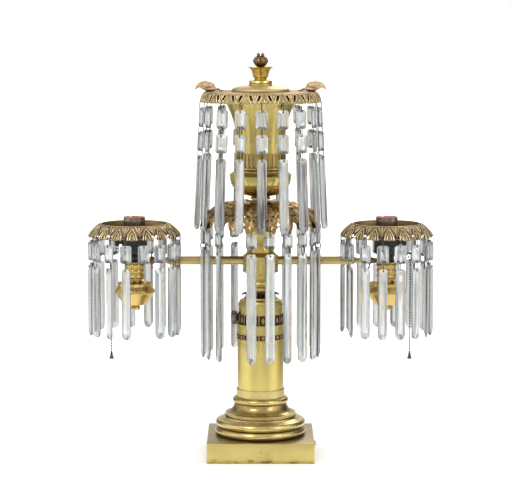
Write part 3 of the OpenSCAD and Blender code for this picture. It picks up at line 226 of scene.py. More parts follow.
# clean and tarnished colour, spread of the tarnish, roughness clean and tarnished, and what else differs
metalSet = {
    "polishedBrass": ((0.71, 0.575, 0.19), (0.33, 0.21, 0.075), (0.16, 0.6, 0.0), (0.27, 0.4),
                      {"depth": 0.02}),
    "mouldingBrass": ((0.68, 0.54, 0.22), (0.20, 0.145, 0.08), (0.4, 1.1, 0.1), (0.24, 0.45),
                      {"depth": 0.04}),
    # a darker copy of the moulding brass, painted shade on the flared moulding
    "shadedMouldingBrass": ((0.50, 0.365, 0.14), (0.13, 0.085, 0.04), (0.4, 1.1, 0.1), (0.26, 0.45), {"depth": 0.04}),
    "reededBrass": ((0.66, 0.48, 0.18), (0.10, 0.055, 0.02), (0.2, 2.2, 0.0), (0.27, 0.5), {"depth": 0.06}),
    "armBrass": ((0.54, 0.43, 0.19), (0.24, 0.15, 0.06), (0.5, 0.8, 0.1), (0.28, 0.45), {"depth": 0.06}),
    "burnerBrass": ((0.72, 0.52, 0.18), (0.20, 0.105, 0.035), (0.2, 1.2, 0.0), (0.24, 0.42), {"depth": 0.03}),
    "plinthBrass": ((0.65, 0.53, 0.185), (0.30, 0.18, 0.06), (0.3, 0.8, 0.0), (0.34, 0.5),
                    {"scratch": (30, 30, 700), "upFacingColour": (0.30, 0.23, 0.14),
                     "footWear": (0.12, 0.06, 0.025)}),
    "mattBrass": ((0.50, 0.365, 0.17), (0.07, 0.035, 0.016), (0.5, 1.4, 0.0), (0.36, 0.6),
                  {"grain": 1500, "depth": 0.4}),
    "birdBrass": ((0.70, 0.52, 0.30), (0.26, 0.15, 0.085), (0.4, 0.7, 0.0), (0.46, 0.6),
                  {"grain": 1300, "depth": 0.3}),
    "paleBrass": ((0.68, 0.53, 0.27), (0.24, 0.15, 0.07), (0.4, 0.8, 0.0), (0.44, 0.58),
                  {"grain": 1300, "depth": 0.55}),
    "canopyBrass": ((0.86, 0.69, 0.38), (0.16, 0.085, 0.035), (0.25, 0.8, 0.0), (0.4, 0.6),
                    {"grain": 1400, "depth": 0.25}),
    "canopyGround": ((0.46, 0.335, 0.17), (0.07, 0.036, 0.016), (0.5, 1.5, 0.0), (0.45, 0.65),
                     {"grain": 1400, "depth": 0.4}),
    "galleryGround": ((0.38, 0.275, 0.135), (0.04, 0.02, 0.01), (0.5, 1.5, 0.0), (0.4, 0.6),
                      {"grain": 1400, "depth": 0.3}),
    "galleryBrass": ((0.82, 0.66, 0.40), (0.15, 0.09, 0.045), (0.4, 1.0, 0.0), (0.38, 0.6),
                     {"grain": 1400, "depth": 0.3}),
    "knobMetal": ((0.24, 0.21, 0.20), (0.03, 0.025, 0.022), (0.4, 1.4, 0.0), (0.22, 0.4), {"depth": 0.1}),
    # dark ground of the relief bands, and painted shade inside the canopy
    "bandGroundAndShade": ((0.11, 0.062, 0.03), (0.025, 0.014, 0.009), (0.6, 0.8, 0.0), (0.5, 0.7),
                   {"grain": 1200, "depth": 0.5}),
    "darkBronze": ((0.27, 0.16, 0.085), (0.04, 0.022, 0.014), (0.6, 1.1, 0.0), (0.3, 0.5),
                   {"grain": 1100, "depth": 0.25}),
    "coronaBronze": ((0.60, 0.40, 0.17), (0.016, 0.01, 0.007), (1.15, 1.6, 0.0), (0.28, 0.5),
                     {"grain": 1100, "depth": 0.25}),
    "plainSteel": ((0.42, 0.42, 0.43), (0.12, 0.1, 0.08), (0.3, 0.7, 0.2), (0.3, 0.5), {}),
    "copperSheet": ((0.78, 0.46, 0.33), (0.3, 0.15, 0.09), (0.3, 0.5, 0.1), (0.25, 0.45), {}),
    "dullWire": ((0.10, 0.085, 0.07), (0.035, 0.028, 0.02), (0.5, 0.3, 0.0), (0.3, 0.5), {}),
    "chainNickel": ((0.10, 0.10, 0.11), (0.03, 0.03, 0.035), (0.5, 0.4, 0.0), (0.25, 0.4), {}),
}

# pale and deep colour, transmission, roughness and strength of the tints
glassTones = {
    "cutGlass": ((1.0, 1.0, 1.0), (0.86, 0.90, 0.89), 0.72, 0.01, 0.2),
    # shadedGlass and shadedEdgeGlass are darker copies of the cut glass, painted shade on bevels, undersides,
    # rims and feet
    "shadedGlass": ((0.88, 0.92, 0.91), (0.34, 0.37, 0.36), 0.72, 0.01, 0.3),
    "shadedEdgeGlass": ((0.34, 0.36, 0.36), (0.08, 0.085, 0.09), 0.5, 0.04, 0.3),
    "smokyGlass": ((0.60, 0.58, 0.56), (0.15, 0.14, 0.165), 0.6, 0.01, 0.55),
}


def makePhenolic():
    # blue-black moulding below, and a collar that has gone brown and metallic above
    material, tree, shader, place = startMaterial("phenolic")
    worn = between(tree, noiseOf(tree, place, 60, 6), 0.45, 0.75)
    browned = between(tree, partOf(tree, place, "Z"), 309 * mm, 316 * mm)
    body = mixColour(tree, worn, (0.017, 0.018, 0.03), (0.03, 0.032, 0.045))
    collar = mixColour(tree, worn, (0.24, 0.20, 0.18), (0.30, 0.24, 0.21))
    setInputs(tree, shader, {"Base Color": mixColour(tree, browned, body, collar),
                             "Metallic": doMath(tree, "MULTIPLY", browned, 0.9),
                             "Roughness": between(tree, noiseOf(tree, place, 90), 0.3, 0.7, 0.12, 0.2),
                             "Normal": bumped(tree, noiseOf(tree, place, 400), 0.04)})
    return material


def makeWireCover():
    material, tree, shader, place = startMaterial("wireCover")
    shade = between(tree, noiseOf(tree, place, 900), 0.3, 0.7)
    setInputs(tree, shader, {"Base Color": mixColour(tree, shade, (0.02, 0.015, 0.012), (0.06, 0.05, 0.04)),
                             "Roughness": 0.6})
    return material


def makeCutGlass(name, pale, deep, clear, smooth, tint):
    material, tree, shader, place = startMaterial(name)
    bands = useGroup(tree, facetBands, Vector=place, Pale=pale, Deep=deep, Tint=tint, Smooth=smooth)
    setInputs(tree, shader, {"Base Color": bands["Color"], "Roughness": bands["Roughness"],
                             "Transmission Weight": clear, "IOR": 1.55})
    return material


finishes = {name: metalMaterial(name, *values, **more) for name, (*values, more) in metalSet.items()}
finishes["phenolic"] = makePhenolic()
finishes["wireCover"] = makeWireCover()
finishes.update({name: makeCutGlass(name, *values) for name, values in glassTones.items()})
print("finishes made")

# carried-over solids and the finish that each one gets
carried = {
    "polishedBrass": ["cord_bushing", "column_tube", "column_collar", "slide_tube", "shoulder_cap",
                      "turned_neck", "arm_hub", "stem", "feed_pipe", "font_bowl", "font_body", "lid_collar"],
    "mouldingBrass": ["bead_moulding", "column_foot"],
    "shadedMouldingBrass": ["flared_moulding"],
    "reededBrass": ["reeded_band"],
    "armBrass": ["arm_left", "arm_right", "arm_rings"],
    "burnerBrass": ["burner_left", "burner_right", "drip_cup_left", "drip_cup_right"],
    "paleBrass": ["lid_dome"],
    "plainSteel": ["base_rod", "base_nuts", "oil_tank", "lid_stud"],
    "copperSheet": ["socket_contacts"],
    "wireCover": ["arm_leads"],
}
for finish, names in carried.items():
    for name in names:
        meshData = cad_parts[name].data
        meshData.materials.clear()
        meshData.materials.append(finishes[finish])
print("finishes on the solids")


def turn(x=0.0, y=0.0, z=0.0):
    return Euler((radians(x), radians(y), radians(z))).to_matrix().to_4x4()


def shift(x=0.0, y=0.0, z=0.0):
    return Matrix.Translation((x * mm, y * mm, z * mm))


def aroundAt(azimuth, radius, height, centre=0.0):
    # azimuth 0 faces the camera and grows towards +X
    return shift(centre) @ turn(z=azimuth) @ shift(0, -radius, height)


def ringOf(count, radius, height, start=0.0, lean=0.0):
    # evenly spaced places round the axis
    return [aroundAt(start + number * 360 / count, radius, height) @ turn(x=lean) for number in range(count)]


def azimuthOf(point):
    return degrees(Vector((0, -1)).angle_signed(Vector((point.x, point.y)), 0.0)) * -1


def asMesh(part):
    # the helpers below take a mesh or a bmesh, and use it up
    if isinstance(part, bpy.types.Mesh):
        return part
    data = bpy.data.meshes.new("part")
    part.to_mesh(data)
    part.free()
    return data


def addTo(bm, part, finishNumber=None):
    data = asMesh(part)
    if finishNumber is not None:
        for face in data.polygons:
            face.material_index = finishNumber
    bm.from_mesh(data)
    bpy.data.meshes.remove(data)
    return bm


def stampAll(bm, part, places):
    # puts a copy of the part at each place
    data = asMesh(part)
    for place in places:
        copyMesh = data.copy()
        copyMesh.transform(place)
        addTo(bm, copyMesh)


def spun(outline, steps, closed=True, base=0.0):
    # a closed outline makes a ring, an open one ends on the axis; base lifts it
    bm = bmesh.new()
    corners = [bm.verts.new((r * mm, 0, (base + z) * mm)) for r, z in outline]
    pairs = list(zip(corners, corners[1:])) + ([(corners[-1], corners[0])] if closed else [])
    edges = [bm.edges.new(pair) for pair in pairs]
    bmesh.ops.spin(bm, geom=corners + edges, cent=(0, 0, 0), axis=(0, 0, 1), angle=2 * pi, steps=steps,
                   use_merge=True)
    bmesh.ops.remove_doubles(bm, verts=bm.verts, dist=1e-6)
    bmesh.ops.recalc_face_normals(bm, faces=bm.faces)
    return bm


def arcLine(cx, cy, radius, fromAngle, toAngle, count):
    angles = [radians(fromAngle + (toAngle - fromAngle) * i / count) for i in range(count + 1)]
    return [(cx + radius * cos(angle), cy + radius * sin(angle)) for angle in angles]


def addRod(bm, radius, long, place, segments=12):
    bmesh.ops.create_cone(bm, cap_ends=True, segments=segments, radius1=radius * mm, radius2=radius * mm,
                          depth=long * mm, matrix=place)


def addBall(bm, place=Matrix.Identity(4), sizes=(1, 1, 1), segments=8, rings=6):
    bmesh.ops.create_uvsphere(bm, u_segments=segments, v_segments=rings, radius=1 * mm,
                              matrix=place @ Matrix.Diagonal((*sizes, 1)))
    return bm


def makeBlock(sizes, rounding=0.0):
    bm = bmesh.new()
    bmesh.ops.create_cube(bm, size=1)
    bmesh.ops.scale(bm, vec=Vector(sizes) * mm, verts=bm.verts)
    if rounding:
        bmesh.ops.bevel(bm, geom=list(bm.edges), offset=rounding * mm, segments=2, profile=0.5,
                        affect="EDGES", material=-1)
    return bm


def modified(part, kind, **settings):
    # the mesh that one modifier makes of a part
    item = bpy.data.objects.new("worked", asMesh(part))
    bpy.context.scene.collection.objects.link(item)
    modifier = item.modifiers.new("step", kind)
    for key, value in settings.items():
        setattr(modifier, key, value)
    bpy.context.view_layer.update()
    result = bpy.data.meshes.new_from_object(item.evaluated_get(bpy.context.evaluated_depsgraph_get()))
    bpy.data.objects.remove(item)
    return result


def cutAway(part, cutters):
    tool = bpy.data.objects.new("cutTool", asMesh(cutters))
    bpy.context.scene.collection.objects.link(tool)
    result = modified(part, "BOOLEAN", operation="DIFFERENCE", solver="EXACT", use_self=True, object=tool)
    bpy.data.objects.remove(tool)
    return result


def cutFacet(bm, point, normal, near=1e-7):
    # grinds one flat facet: what lies beyond the plane goes, and the cut is closed
    cut = bmesh.ops.bisect_plane(bm, geom=[*bm.verts, *bm.edges, *bm.faces], dist=near, plane_co=point,
                                 plane_no=normal, clear_outer=True)
    rim = [e for e in cut["geom_cut"] if isinstance(e, bmesh.types.BMEdge)]
    if rim:
        bmesh.ops.edgenet_fill(bm, edges=rim)


def mirrored(bm, side):
    if side < 0:
        bmesh.ops.scale(bm, vec=(-1, 1, 1), verts=bm.verts)
        bmesh.ops.reverse_faces(bm, faces=bm.faces)
    return bm


def finishPiece(part, name, body, finish, replaced, sharp=40, side=0):
    # side gives a piece of the left or right arm its ending; sharp 0 leaves the facets flat
    if side:
        ending = "Left" if side < 0 else "Right"
        name, replaced = name + ending, replaced + "_" + ending.lower()
    data = asMesh(part)
    data.name = name
    piece = bpy.data.objects.new(name, data)
    bpy.context.scene.collection.objects.link(piece)
    names = [finish] if isinstance(finish, str) else finish
    while len(data.materials) > len(names):
        data.materials.pop()
    for number, one in enumerate(names):
        if number < len(data.materials):
            data.materials[number] = finishes[one]
        else:
            data.materials.append(finishes[one])
    if sharp:
        data.shade_smooth()
        data.set_sharp_from_angle(angle=radians(sharp))
    else:
        data.shade_flat()
    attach(piece, body)
    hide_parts(replaced)


# gap is from one glass to the next; a button or drop is wide and high
glassSet = {"thick": 6.8, "rim": 1.8, "flat": 0.18, "holeInset": 3.0, "hole": 1.3, "gap": 7.0,
            "corner": 2.6, "bevel": 5.4, "star": 0.9, "shoulder": 8.0, "tip": 8.5,
            "canopyButton": (17.0, 26.0), "coronaButton": (15.6, 20.0), "galleryButton": (16.4, 25.0),
            "starButton": (16.4, 25.0), "canopyDrop": (13.6, 101.0), "coronaDrop": (13.6, 151.0),
            "galleryDrop": (13.6, 98.0),
            "finishes": ("cutGlass", "shadedGlass", "shadedEdgeGlass", "smokyGlass"),
            # which finish the face, the shaded bevels, and the rim and foot have: pale, grey or smoky
            "tones": {"p": (0, 1, 2), "g": (1, 0, 2), "s": (3, 1, 2)}}


def bevelFacet(bm, first, second, upright=False):
    # facet through two lines that run along one axis; points are (across, depth)
    across = Vector((second[1] - first[1], first[0] - second[0])).normalized()
    if across.dot(Vector(first)) < 0:
        across = -across
    if upright:
        cutFacet(bm, (first[0] * mm, first[1] * mm, 0), (across.x, across.y, 0))
    else:
        cutFacet(bm, (0, first[1] * mm, first[0] * mm), (0, across.y, across.x))


def startGlass(width, height):
    bm = makeBlock((width, glassSet["thick"], height))
    rim, deep = glassSet["rim"] / 2, glassSet["thick"] / 2
    for sideX in (-1, 1):
        for sideY in (-1, 1):
            bevelFacet(bm, (sideX * width / 2, sideY * rim), (sideX * width * glassSet["flat"], sideY * deep),
                       upright=True)
    return bm, rim, deep


def makeButton(width, height, tone, starCut=False):
    bm, rim, deep = startGlass(width, height)
    inset = height / 2 - glassSet["holeInset"]
    for sideZ in (-1, 1):
        for sideY in (-1, 1):
            bevelFacet(bm, (sideZ * height / 2, sideY * rim),
                       (sideZ * (height / 2 - glassSet["bevel"]), sideY * deep))
        for sideX in (-1, 1):
            cutFacet(bm, (sideX * (width / 2 - glassSet["corner"]) * mm, 0, sideZ * height / 2 * mm),
                     (sideX, 0, sideZ))
    if starCut:
        front = [f for f in bm.faces if abs(f.normal.y) > 0.99]
        middle = bmesh.ops.poke(bm, faces=front, offset=-glassSet["star"] * mm)
        bmesh.ops.recalc_face_normals(bm, faces=middle["faces"])
    return drilled(bm, (-inset, inset), tone)


def makeDrop(width, height, tone):
    bm, rim, deep = startGlass(width, height)
    top, tip = height / 2, glassSet["tip"]
    for sideY in (-1, 1):
        bevelFacet(bm, (top, sideY * rim), (top - glassSet["shoulder"], sideY * deep))
        bevelFacet(bm, (-top, sideY * rim), (tip - top, sideY * deep))
    for sideX in (-1, 1):   # two facets a side make the point, and one slopes the shoulder
        for fromX, fromZ, toX, toZ in ((width / 2, tip, width * 0.41, tip * 0.38),
                                       (width * 0.41, tip * 0.38, width * 0.17, 0)):
            cutFacet(bm, (sideX * fromX * mm, 0, (fromZ - top) * mm), (sideX * (fromZ - toZ), 0, toX - fromX))
        cutFacet(bm, (sideX * width * 0.34 * mm, 0, top * mm), (sideX * 3, 0, width * 0.16))
    return drilled(bm, (top - glassSet["holeInset"],), tone)


def drilled(bm, heights, tone):
    drills = bmesh.new()
    for height in heights:
        addRod(drills, glassSet["hole"], 20, shift(0, 0, height) @ turn(x=90))
    glass = cutAway(bm, drills)
    foot = min(v.co.z for v in glass.vertices)
    lit, shade, edge = glassSet["tones"][tone]
    for face in glass.polygons:   # painted shade: one side's bevels and the downward faces get the tone's shaded finish, the rim and foot the darkest
        low = face.center.z < foot + 3 * mm and face.normal.z < -0.2
        shaded = face.normal.x * copysign(1, face.normal.y) > 0.2 or face.normal.z < -0.1
        face.material_index = shade if shaded else lit
        if low or abs(face.normal.x) > 0.95 or abs(face.normal.z) > 0.9:
            face.material_index = edge
    return glass


linkSet = {"halfWide": 3.2, "high": 13.0, "wire": 0.45}


def makeLink():
    # one stretched ring of round wire, top at z = 0, in the plane of Y and Z
    bm = bmesh.new()
    halfWide = linkSet["halfWide"] * mm
    straight = linkSet["high"] * mm - 2 * halfWide
    bmesh.ops.create_circle(bm, segments=6, radius=linkSet["wire"] * mm,
                            matrix=shift(0, linkSet["halfWide"], 0))
    ring = [*bm.verts, *bm.edges]
    for centre, run in ((0, -straight), (-straight, straight)):   # half a turn and then a straight side
        bend = bmesh.ops.spin(bm, geom=ring, cent=(0, 0, centre), axis=(1, 0, 0), angle=pi, steps=8)
        last = [e for e in bend["geom_last"] if isinstance(e, bmesh.types.BMEdge)]
        leg = bmesh.ops.extrude_edge_only(bm, edges=last)["geom"]
        ring = [v for v in leg if isinstance(v, bmesh.types.BMVert)]
        bmesh.ops.translate(bm, vec=(0, 0, run), verts=ring)
        ring += [e for e in leg if isinstance(e, bmesh.types.BMEdge) and all(v in ring for v in e.verts)]
    bmesh.ops.remove_doubles(bm, verts=bm.verts, dist=1e-5)
    bmesh.ops.recalc_face_normals(bm, faces=bm.faces)
    bmesh.ops.translate(bm, vec=(0, 0, -halfWide), verts=bm.verts)
    return asMesh(bm)


armSet = {"reach": 175, "height": 271.9}
# keepOff is how near to an arm's axis a strand may hang; lost strands and drops go by their number
tierSet = {
    "canopy": {"count": 18, "radius": 81.7, "height": 494.2, "lean": 2.655, "turn": 1.0, "twist": (137, 22),
               "tones": "spspgpgppgppgpgpsp"},
    "corona": {"count": 20, "radius": 81.0, "height": 326.4, "offset": 0.5, "twist": (101, 24),
               "tones": "ppgppgppgppgppgppgpp", "keepOff": 14.0, "lost": 18},
    "gallery": {"count": 16, "radius": 62.5, "height": 309.2, "offset": 0.5, "twist": (83, 30), "drift": 3.4,
                "tones": "pppgppgppgpppgpp", "keepOff": 16.6,
                "lostDrop": {-1: 0, 1: 12}, "starWithin": 30},
}


def strandAzimuth(tier, number):
    one = tierSet[tier]
    angle = (number + one.get("offset", 0)) * 360 / one["count"]
    angle = (angle - 360 if angle > 180 else angle) + one.get("turn", 0)
    angle += one.get("drift", 0) * cos(radians(angle))
    keep = degrees(asin(one.get("keepOff", 0) / one["radius"]))
    if abs(abs(angle) - 90) < keep:
        return copysign(90 - keep if abs(angle) < 90 else 90 + keep, angle)
    return angle


def strandTwist(tier, number, azimuth):
    step, most = tierSet[tier]["twist"]
    if tier != "canopy" and abs(abs(azimuth) - 90) < 20:   # beside an arm the glass hangs square
        return 0
    return most * sin(radians(number * step + 40))


def strandGlass(tier, number, side, azimuth):
    # from the top down: the piece that it joins, the cut and the tone
    one = tierSet[tier]
    tone = one["tones"][number]
    if tier == "canopy":
        upper, lower = ("g", "p") if tone == "s" else ("p", tone)
        return [("canopyUpperGlass", "canopyButton", upper), ("canopyLowerGlass", "canopyButton", lower),
                ("canopyLongGlass", "canopyDrop", tone)]
    star = min(abs(azimuth), 180 - abs(azimuth)) < one.get("starWithin", 0)
    button = (tier + "SmallGlass", "starButton" if star else tier + "Button", tone)
    if number == one.get("lostDrop", {}).get(side):
        return [button]
    return [button, (tier + "LongGlass", tier + "Drop", tone)]


# the pieces that the cut glass goes into, and the node that each one stands for
hungPieces = {"canopyUpperGlass": "canopy_upper_buttons", "canopyLowerGlass": "canopy_lower_buttons",
              "canopyLongGlass": "canopy_drops", "coronaSmallGlass": "corona_buttons",
              "coronaLongGlass": "corona_drops", "gallerySmallGlass": "gallery_buttons",
              "galleryLongGlass": "gallery_drops"}


def hangStrands():
    hung = {name: bmesh.new() for name in hungPieces}
    loops = bmesh.new()
    link = makeLink()
    cuts = {}
    for tone in glassSet["tones"]:
        for name in ("canopyButton", "coronaButton", "galleryButton", "starButton"):
            cuts[name, tone] = makeButton(*glassSet[name], tone, starCut=name == "starButton")
        for name in ("canopyDrop", "coronaDrop", "galleryDrop"):
            cuts[name, tone] = makeDrop(*glassSet[name], tone)
    for tier, side in (("canopy", 0), ("corona", 0), ("gallery", -1), ("gallery", 1)):
        one = tierSet[tier]
        for number in range(one["count"]):
            if number == one.get("lost"):
                continue
            azimuth = strandAzimuth(tier, number)
            twist = strandTwist(tier, number + 3 * side, azimuth)
            place = aroundAt(azimuth, one["radius"], one["height"], side * armSet["reach"])
            place = place @ turn(x=-one.get("lean", 0))
            top, share = 0, 0.25   # each link and glass turns a quarter of the twist more
            for target, name, tone in strandGlass(tier, number, side, azimuth):
                stampAll(loops, link, [place @ shift(0, 0, top) @ turn(z=twist * share)])
                high = glassSet[name][1]
                middle = top - glassSet["gap"] - glassSet["holeInset"] - high / 2
                stampAll(hung[target], cuts[name, tone],
                         [place @ shift(0, 0, middle) @ turn(z=twist * (share + 0.25))])
                top, share = middle - high / 2 + glassSet["holeInset"], share + 0.5
    for name, node in hungPieces.items():
        finishPiece(hung[name], name, "upper", glassSet["finishes"], node, sharp=0)
    finishPiece(loops, "pinLoops", "upper", "dullWire", "pin_links")


hangStrands()
print("glass hung")


def ridgeAlong(points, thick, closed=False, flat=1.0):
    # a round bar along a line of (x, z) points in mm; flat stretches it across the sheet
    curve = bpy.data.curves.new("ridge", "CURVE")
    curve.dimensions = "3D"
    curve.bevel_depth = thick * mm
    curve.bevel_resolution = 1
    curve.use_fill_caps = True
    line = curve.splines.new("POLY")
    line.points.add(len(points) - 1)
    line.use_cyclic_u = closed
    for spot, (x, z) in zip(line.points, points):
        spot.co = (x * mm, 0, z * mm, 1)
    bar = bpy.data.objects.new("ridge", curve)
    data = bpy.data.meshes.new_from_object(bar)
    bpy.data.objects.remove(bar)
    bpy.data.curves.remove(curve)
    data.transform(Matrix.Diagonal((1, flat, 1, 1)))
    bm = addTo(bmesh.new(), data)
    bmesh.ops.remove_doubles(bm, verts=bm.verts, dist=1e-7)
    bmesh.ops.recalc_face_normals(bm, faces=bm.faces)
    return asMesh(bm)


def grain(x, z, sizes, roll=0.0, lift=0.0):
    # one seed-shaped boss, lying on the sheet
    return asMesh(addBall(bmesh.new(), shift(x, -lift, z) @ turn(y=roll), sizes))


def layOn(flat, ring, azimuth):
    # X runs round the ring, Z up its arched face from the lower edge, and -Y outwards
    data = flat.copy()
    for vertex in data.vertices:
        x, y, z = vertex.co / mm
        reach, tilt = ring["arc"] - y, z / ring["arc"]
        radius = ring["outer"] - ring["arc"] + reach * cos(tilt)
        around = radians(azimuth) + x / ring["lay"]
        vertex.co = Vector((radius * sin(around), -radius * cos(around),
                            ring["edge"] + reach * sin(tilt))) * mm
    return data


def layAll(bm, flats, ring, azimuths):
    for azimuth in azimuths:
        for flat in flats:
            addTo(bm, layOn(flat, ring, azimuth))


def drillRing(bm, tier, radius, height, bore, segments):
    # a hole for the top link of each strand
    for number in range(tierSet[tier]["count"]):
        addRod(bm, bore, 12, aroundAt(strandAzimuth(tier, number), radius, height) @ turn(x=90), segments)


# the arc is the radius of the ring's arched side, lay the radius at which ornament is measured out
canopySet = {"units": 20, "outer": 83.0, "arc": 19.8, "lay": 81.0, "thick": 2.2, "edge": 491.8,
             "plate": (503.2, 506.2), "filler": 36.0, "shoulder": 9.0, "phase": 12.6, "slot": 1.95,
             "rim": 0.85, "hole": 1.5, "steps": 360, "scallops": 5, "scallop": 1.0}


def cupLine(side, fromRise=0.0, toRise=1.0, aside=0.0, count=6):
    # the leaning side of one cup-shaped opening
    rises = [fromRise + (toRise - fromRise) * i / count for i in range(count + 1)]
    return [(side * (3.0 + 3.6 * max(0, rise) ** 0.8 + aside), 3.4 + 9.2 * rise) for rise in rises]


def makeCanopy():
    one = canopySet
    arcX, edge, arc = one["outer"] - one["arc"], one["edge"], one["arc"]
    inner = arc - one["thick"]
    plateZ, topZ = one["plate"]
    shoulder, filler = arcX + one["shoulder"], one["filler"]
    bm = spun(arcLine(arcX, edge, arc, 0, 46, 12) +
              [(shoulder, topZ), (filler, topZ), (filler, plateZ), (shoulder, plateZ)] +
              arcLine(arcX, edge, inner, 40, 0, 8), one["steps"])
    pitch, scallops = 360 / one["units"], one["scallops"]
    azimuths = [one["phase"] + number * pitch for number in range(one["units"])]
    for vertex in bm.verts:
        if vertex.co.z < (edge + 3) * mm and hypot(vertex.co.x, vertex.co.y) > 70 * mm:
            share = ((azimuthOf(vertex.co / mm) - one["phase"]) / pitch * scallops) % 1
            vertex.co.z += one["scallop"] * mm * abs(cos(pi * share))
    holes = bmesh.new()
    layAll(holes, [ridgeAlong(cupLine(side), one["slot"], flat=4.5) for side in (-1, 1)], one, azimuths)
    drillRing(holes, "canopy", tierSet["canopy"]["radius"], tierSet["canopy"]["height"], one["hole"], 12)
    shell = cutAway(bm, holes)
    for face in shell.polygons:   # painted shade: the inner side and the plate's underside get the dark ground finish
        spot = face.center / mm
        out = hypot(spot.x, spot.y) - arcX
        inside = out > 0 and hypot(out, spot.z - edge) < arc - one["thick"] * 0.6
        face.material_index = 2 if inside or face.normal.z < -0.5 and spot.z > edge + 3 else 0
    bm = addTo(bmesh.new(), shell)
    # a thin dark ring behind the openings, painted shade seen through them
    addTo(bm, spun(arcLine(arcX, edge, inner + 0.1, 17, 44, 6) + arcLine(arcX, edge, inner - 0.5, 44, 17, 6),
                   120), 2)
    rims = [ridgeAlong(cupLine(side, -0.16, 1.12, 2.75) + cupLine(side, -0.1, 1.12, -2.6)[::-1], one["rim"],
                       closed=True) for side in (-1, 1)]
    cup = [grain(0, 11.2, (1.5, 0.7, 2.6)), grain(0, 2.0, (1.3, 1.0, 1.3), 0, 0.2)]
    fan = [grain(0, 4.6, (0.8, 0.8, 2.9), 0, 0.2)]
    fan += [grain(side * far, high, (0.62, 0.7, 2.3), side * lean, 0.2) for side in (-1, 1)
            for far, high, lean in ((1.7, 3.9, 24), (3.1, 2.7, 50))]
    raised = bmesh.new()
    layAll(raised, rims + cup, one, azimuths)
    layAll(raised, fan, one, [azimuth + pitch / 2 for azimuth in azimuths])
    layAll(raised, [grain(0, 0.7, (1.15, 1.0, 0.95), 0, 0.1)], one,
           [azimuth + pitch * (step + 0.5) / scallops for azimuth in azimuths for step in range(scallops)])
    addTo(raised, spun([(arcX + 13.2, -0.9), (arcX + 14.2, -0.7), (arcX + 14.2, -0.1), (arcX + 13.2, 0)], 180,
                       base=topZ))
    addTo(bm, raised, 1)
    finishPiece(bm, "canopyLeafRing", "upper", ("canopyGround", "canopyBrass", "bandGroundAndShade"), "canopy",
                sharp=35)


makeCanopy()
print("canopy made")


gallerySet = {"units": 18, "outer": 63.6, "arc": 17.8, "lay": 60.0, "thick": 1.8, "edge": 305.6,
              "crest": 47.3, "seat": 312.0, "ledge": 38.0, "spider": (7.0, 22.5, 2.0), "spiderAt": 27.6,
              "collar": 15.1, "steps": 288, "hole": 1.3, "tipDrop": 3.0, "lobeDrop": 1.0, "slope": 0.13}


def archLine(half, foot, high, count=8):
    # a pointed arch, up one side and down the other
    rises = [i / count for i in range(count + 1)]
    left = [(-half * cos(radians(rise * 90)) ** 0.8, foot + (high - foot) * rise) for rise in rises]
    return left + [(-x, z) for x, z in left[-2::-1]]


def makeGallery(side):
    one = gallerySet
    arcX, edge, seat, crest = one["outer"] - one["arc"], one["edge"], one["seat"], one["crest"]
    sheet = one["arc"] - 0.5
    bm = spun(arcLine(arcX, edge, sheet, 0, 88, 14) + arcLine(arcX, edge, sheet - one["thick"], 88, 0, 14),
              one["steps"])
    pitch = 360 / one["units"]
    azimuths = [number * pitch for number in range(one["units"])]
    midway = [azimuth + pitch / 2 for azimuth in azimuths]
    for vertex in bm.verts:   # leaf tips hang lower than the gaps between them
        if vertex.co.z < (edge + 2.4) * mm:
            share = (azimuthOf(vertex.co / mm) / pitch) % 1
            vertex.co.z += one["tipDrop"] * mm * max(0, 1 - abs(share - 0.5) * 5)
            vertex.co.z += one["lobeDrop"] * mm * max(0, 1 - abs(min(share, 1 - share) - 0.16) * 14)
    holes = bmesh.new()
    layAll(holes, [ridgeAlong([(0, 11.4), (0, 14.0)], 1.1, flat=4)] +
           [ridgeAlong([(lean * 0.9, 3.2), (lean * 4.4, 8.6)], 2.0, flat=4) for lean in (-1, 1)], one, midway)
    layAll(holes, [ridgeAlong([(lean * 4.0, 15.2), (lean * 2.6, 19.0)], 0.9, flat=4) for lean in (-1, 1)],
           one, azimuths)
    drillRing(holes, "gallery", one["outer"] - 1, edge + 3.6, one["hole"], 10)
    bm = addTo(bmesh.new(), cutAway(bm, holes))
    standing = [ridgeAlong(archLine(6.0, 1.2, 20), 1.0), ridgeAlong(archLine(2.9, 1.4, 13), 0.85)]
    hanging = [ridgeAlong([(-5.4, 24), (-3.4, 17.4), (0, 11.6), (3.4, 17.4), (5.4, 24)], 1.0),
               grain(0, 19.5, (1.5, 0.8, 4.4), 0, 0.1)]
    raised = bmesh.new()
    layAll(raised, standing, one, azimuths)
    layAll(raised, hanging, one, midway)
    addTo(bm, raised, 1)
    top = edge + one["arc"] + 0.4
    addTo(bm, spun([(crest, seat), (crest + 0.5, top - 1.6), (crest + 0.1, top), (crest - 1.2, top + 0.2),
                    (crest - 1.8, top - 0.6), (crest - 1.8, seat)], 128), 2)
    for outer, inner, steps in ((crest - 1.3, one["ledge"], 128), (17.9, one["collar"] + 0.1, 64)):
        addTo(bm, spun([(outer, 0), (outer, 2), (inner, 2), (inner, 0)], steps, base=seat))
    stampAll(bm, makeBlock(one["spider"], 0.3), ringOf(4, one["spiderAt"], seat + 1, start=45))
    for vertex in bm.verts:   # the leaves slope more than a quarter circle does
        spot = vertex.co / mm
        far = hypot(spot.x, spot.y)
        out, up = far - arcX, spot.z - edge
        if out > 0 and up > 0:
            flat = 1 - one["slope"] * (2 * out * up / (out * out + up * up)) ** 2
            vertex.co = Vector((spot.x * (arcX + out * flat) / far, spot.y * (arcX + out * flat) / far,
                                edge + up * flat)) * mm
    bmesh.ops.translate(bm, vec=(side * armSet["reach"] * mm, 0, 0), verts=bm.verts)
    finishPiece(bm, "galleryLeafRing", "upper", ("galleryGround", "galleryBrass", "mattBrass"), "gallery",
                sharp=35, side=side)


for armSide in (-1, 1):
    makeGallery(armSide)
print("galleries made")


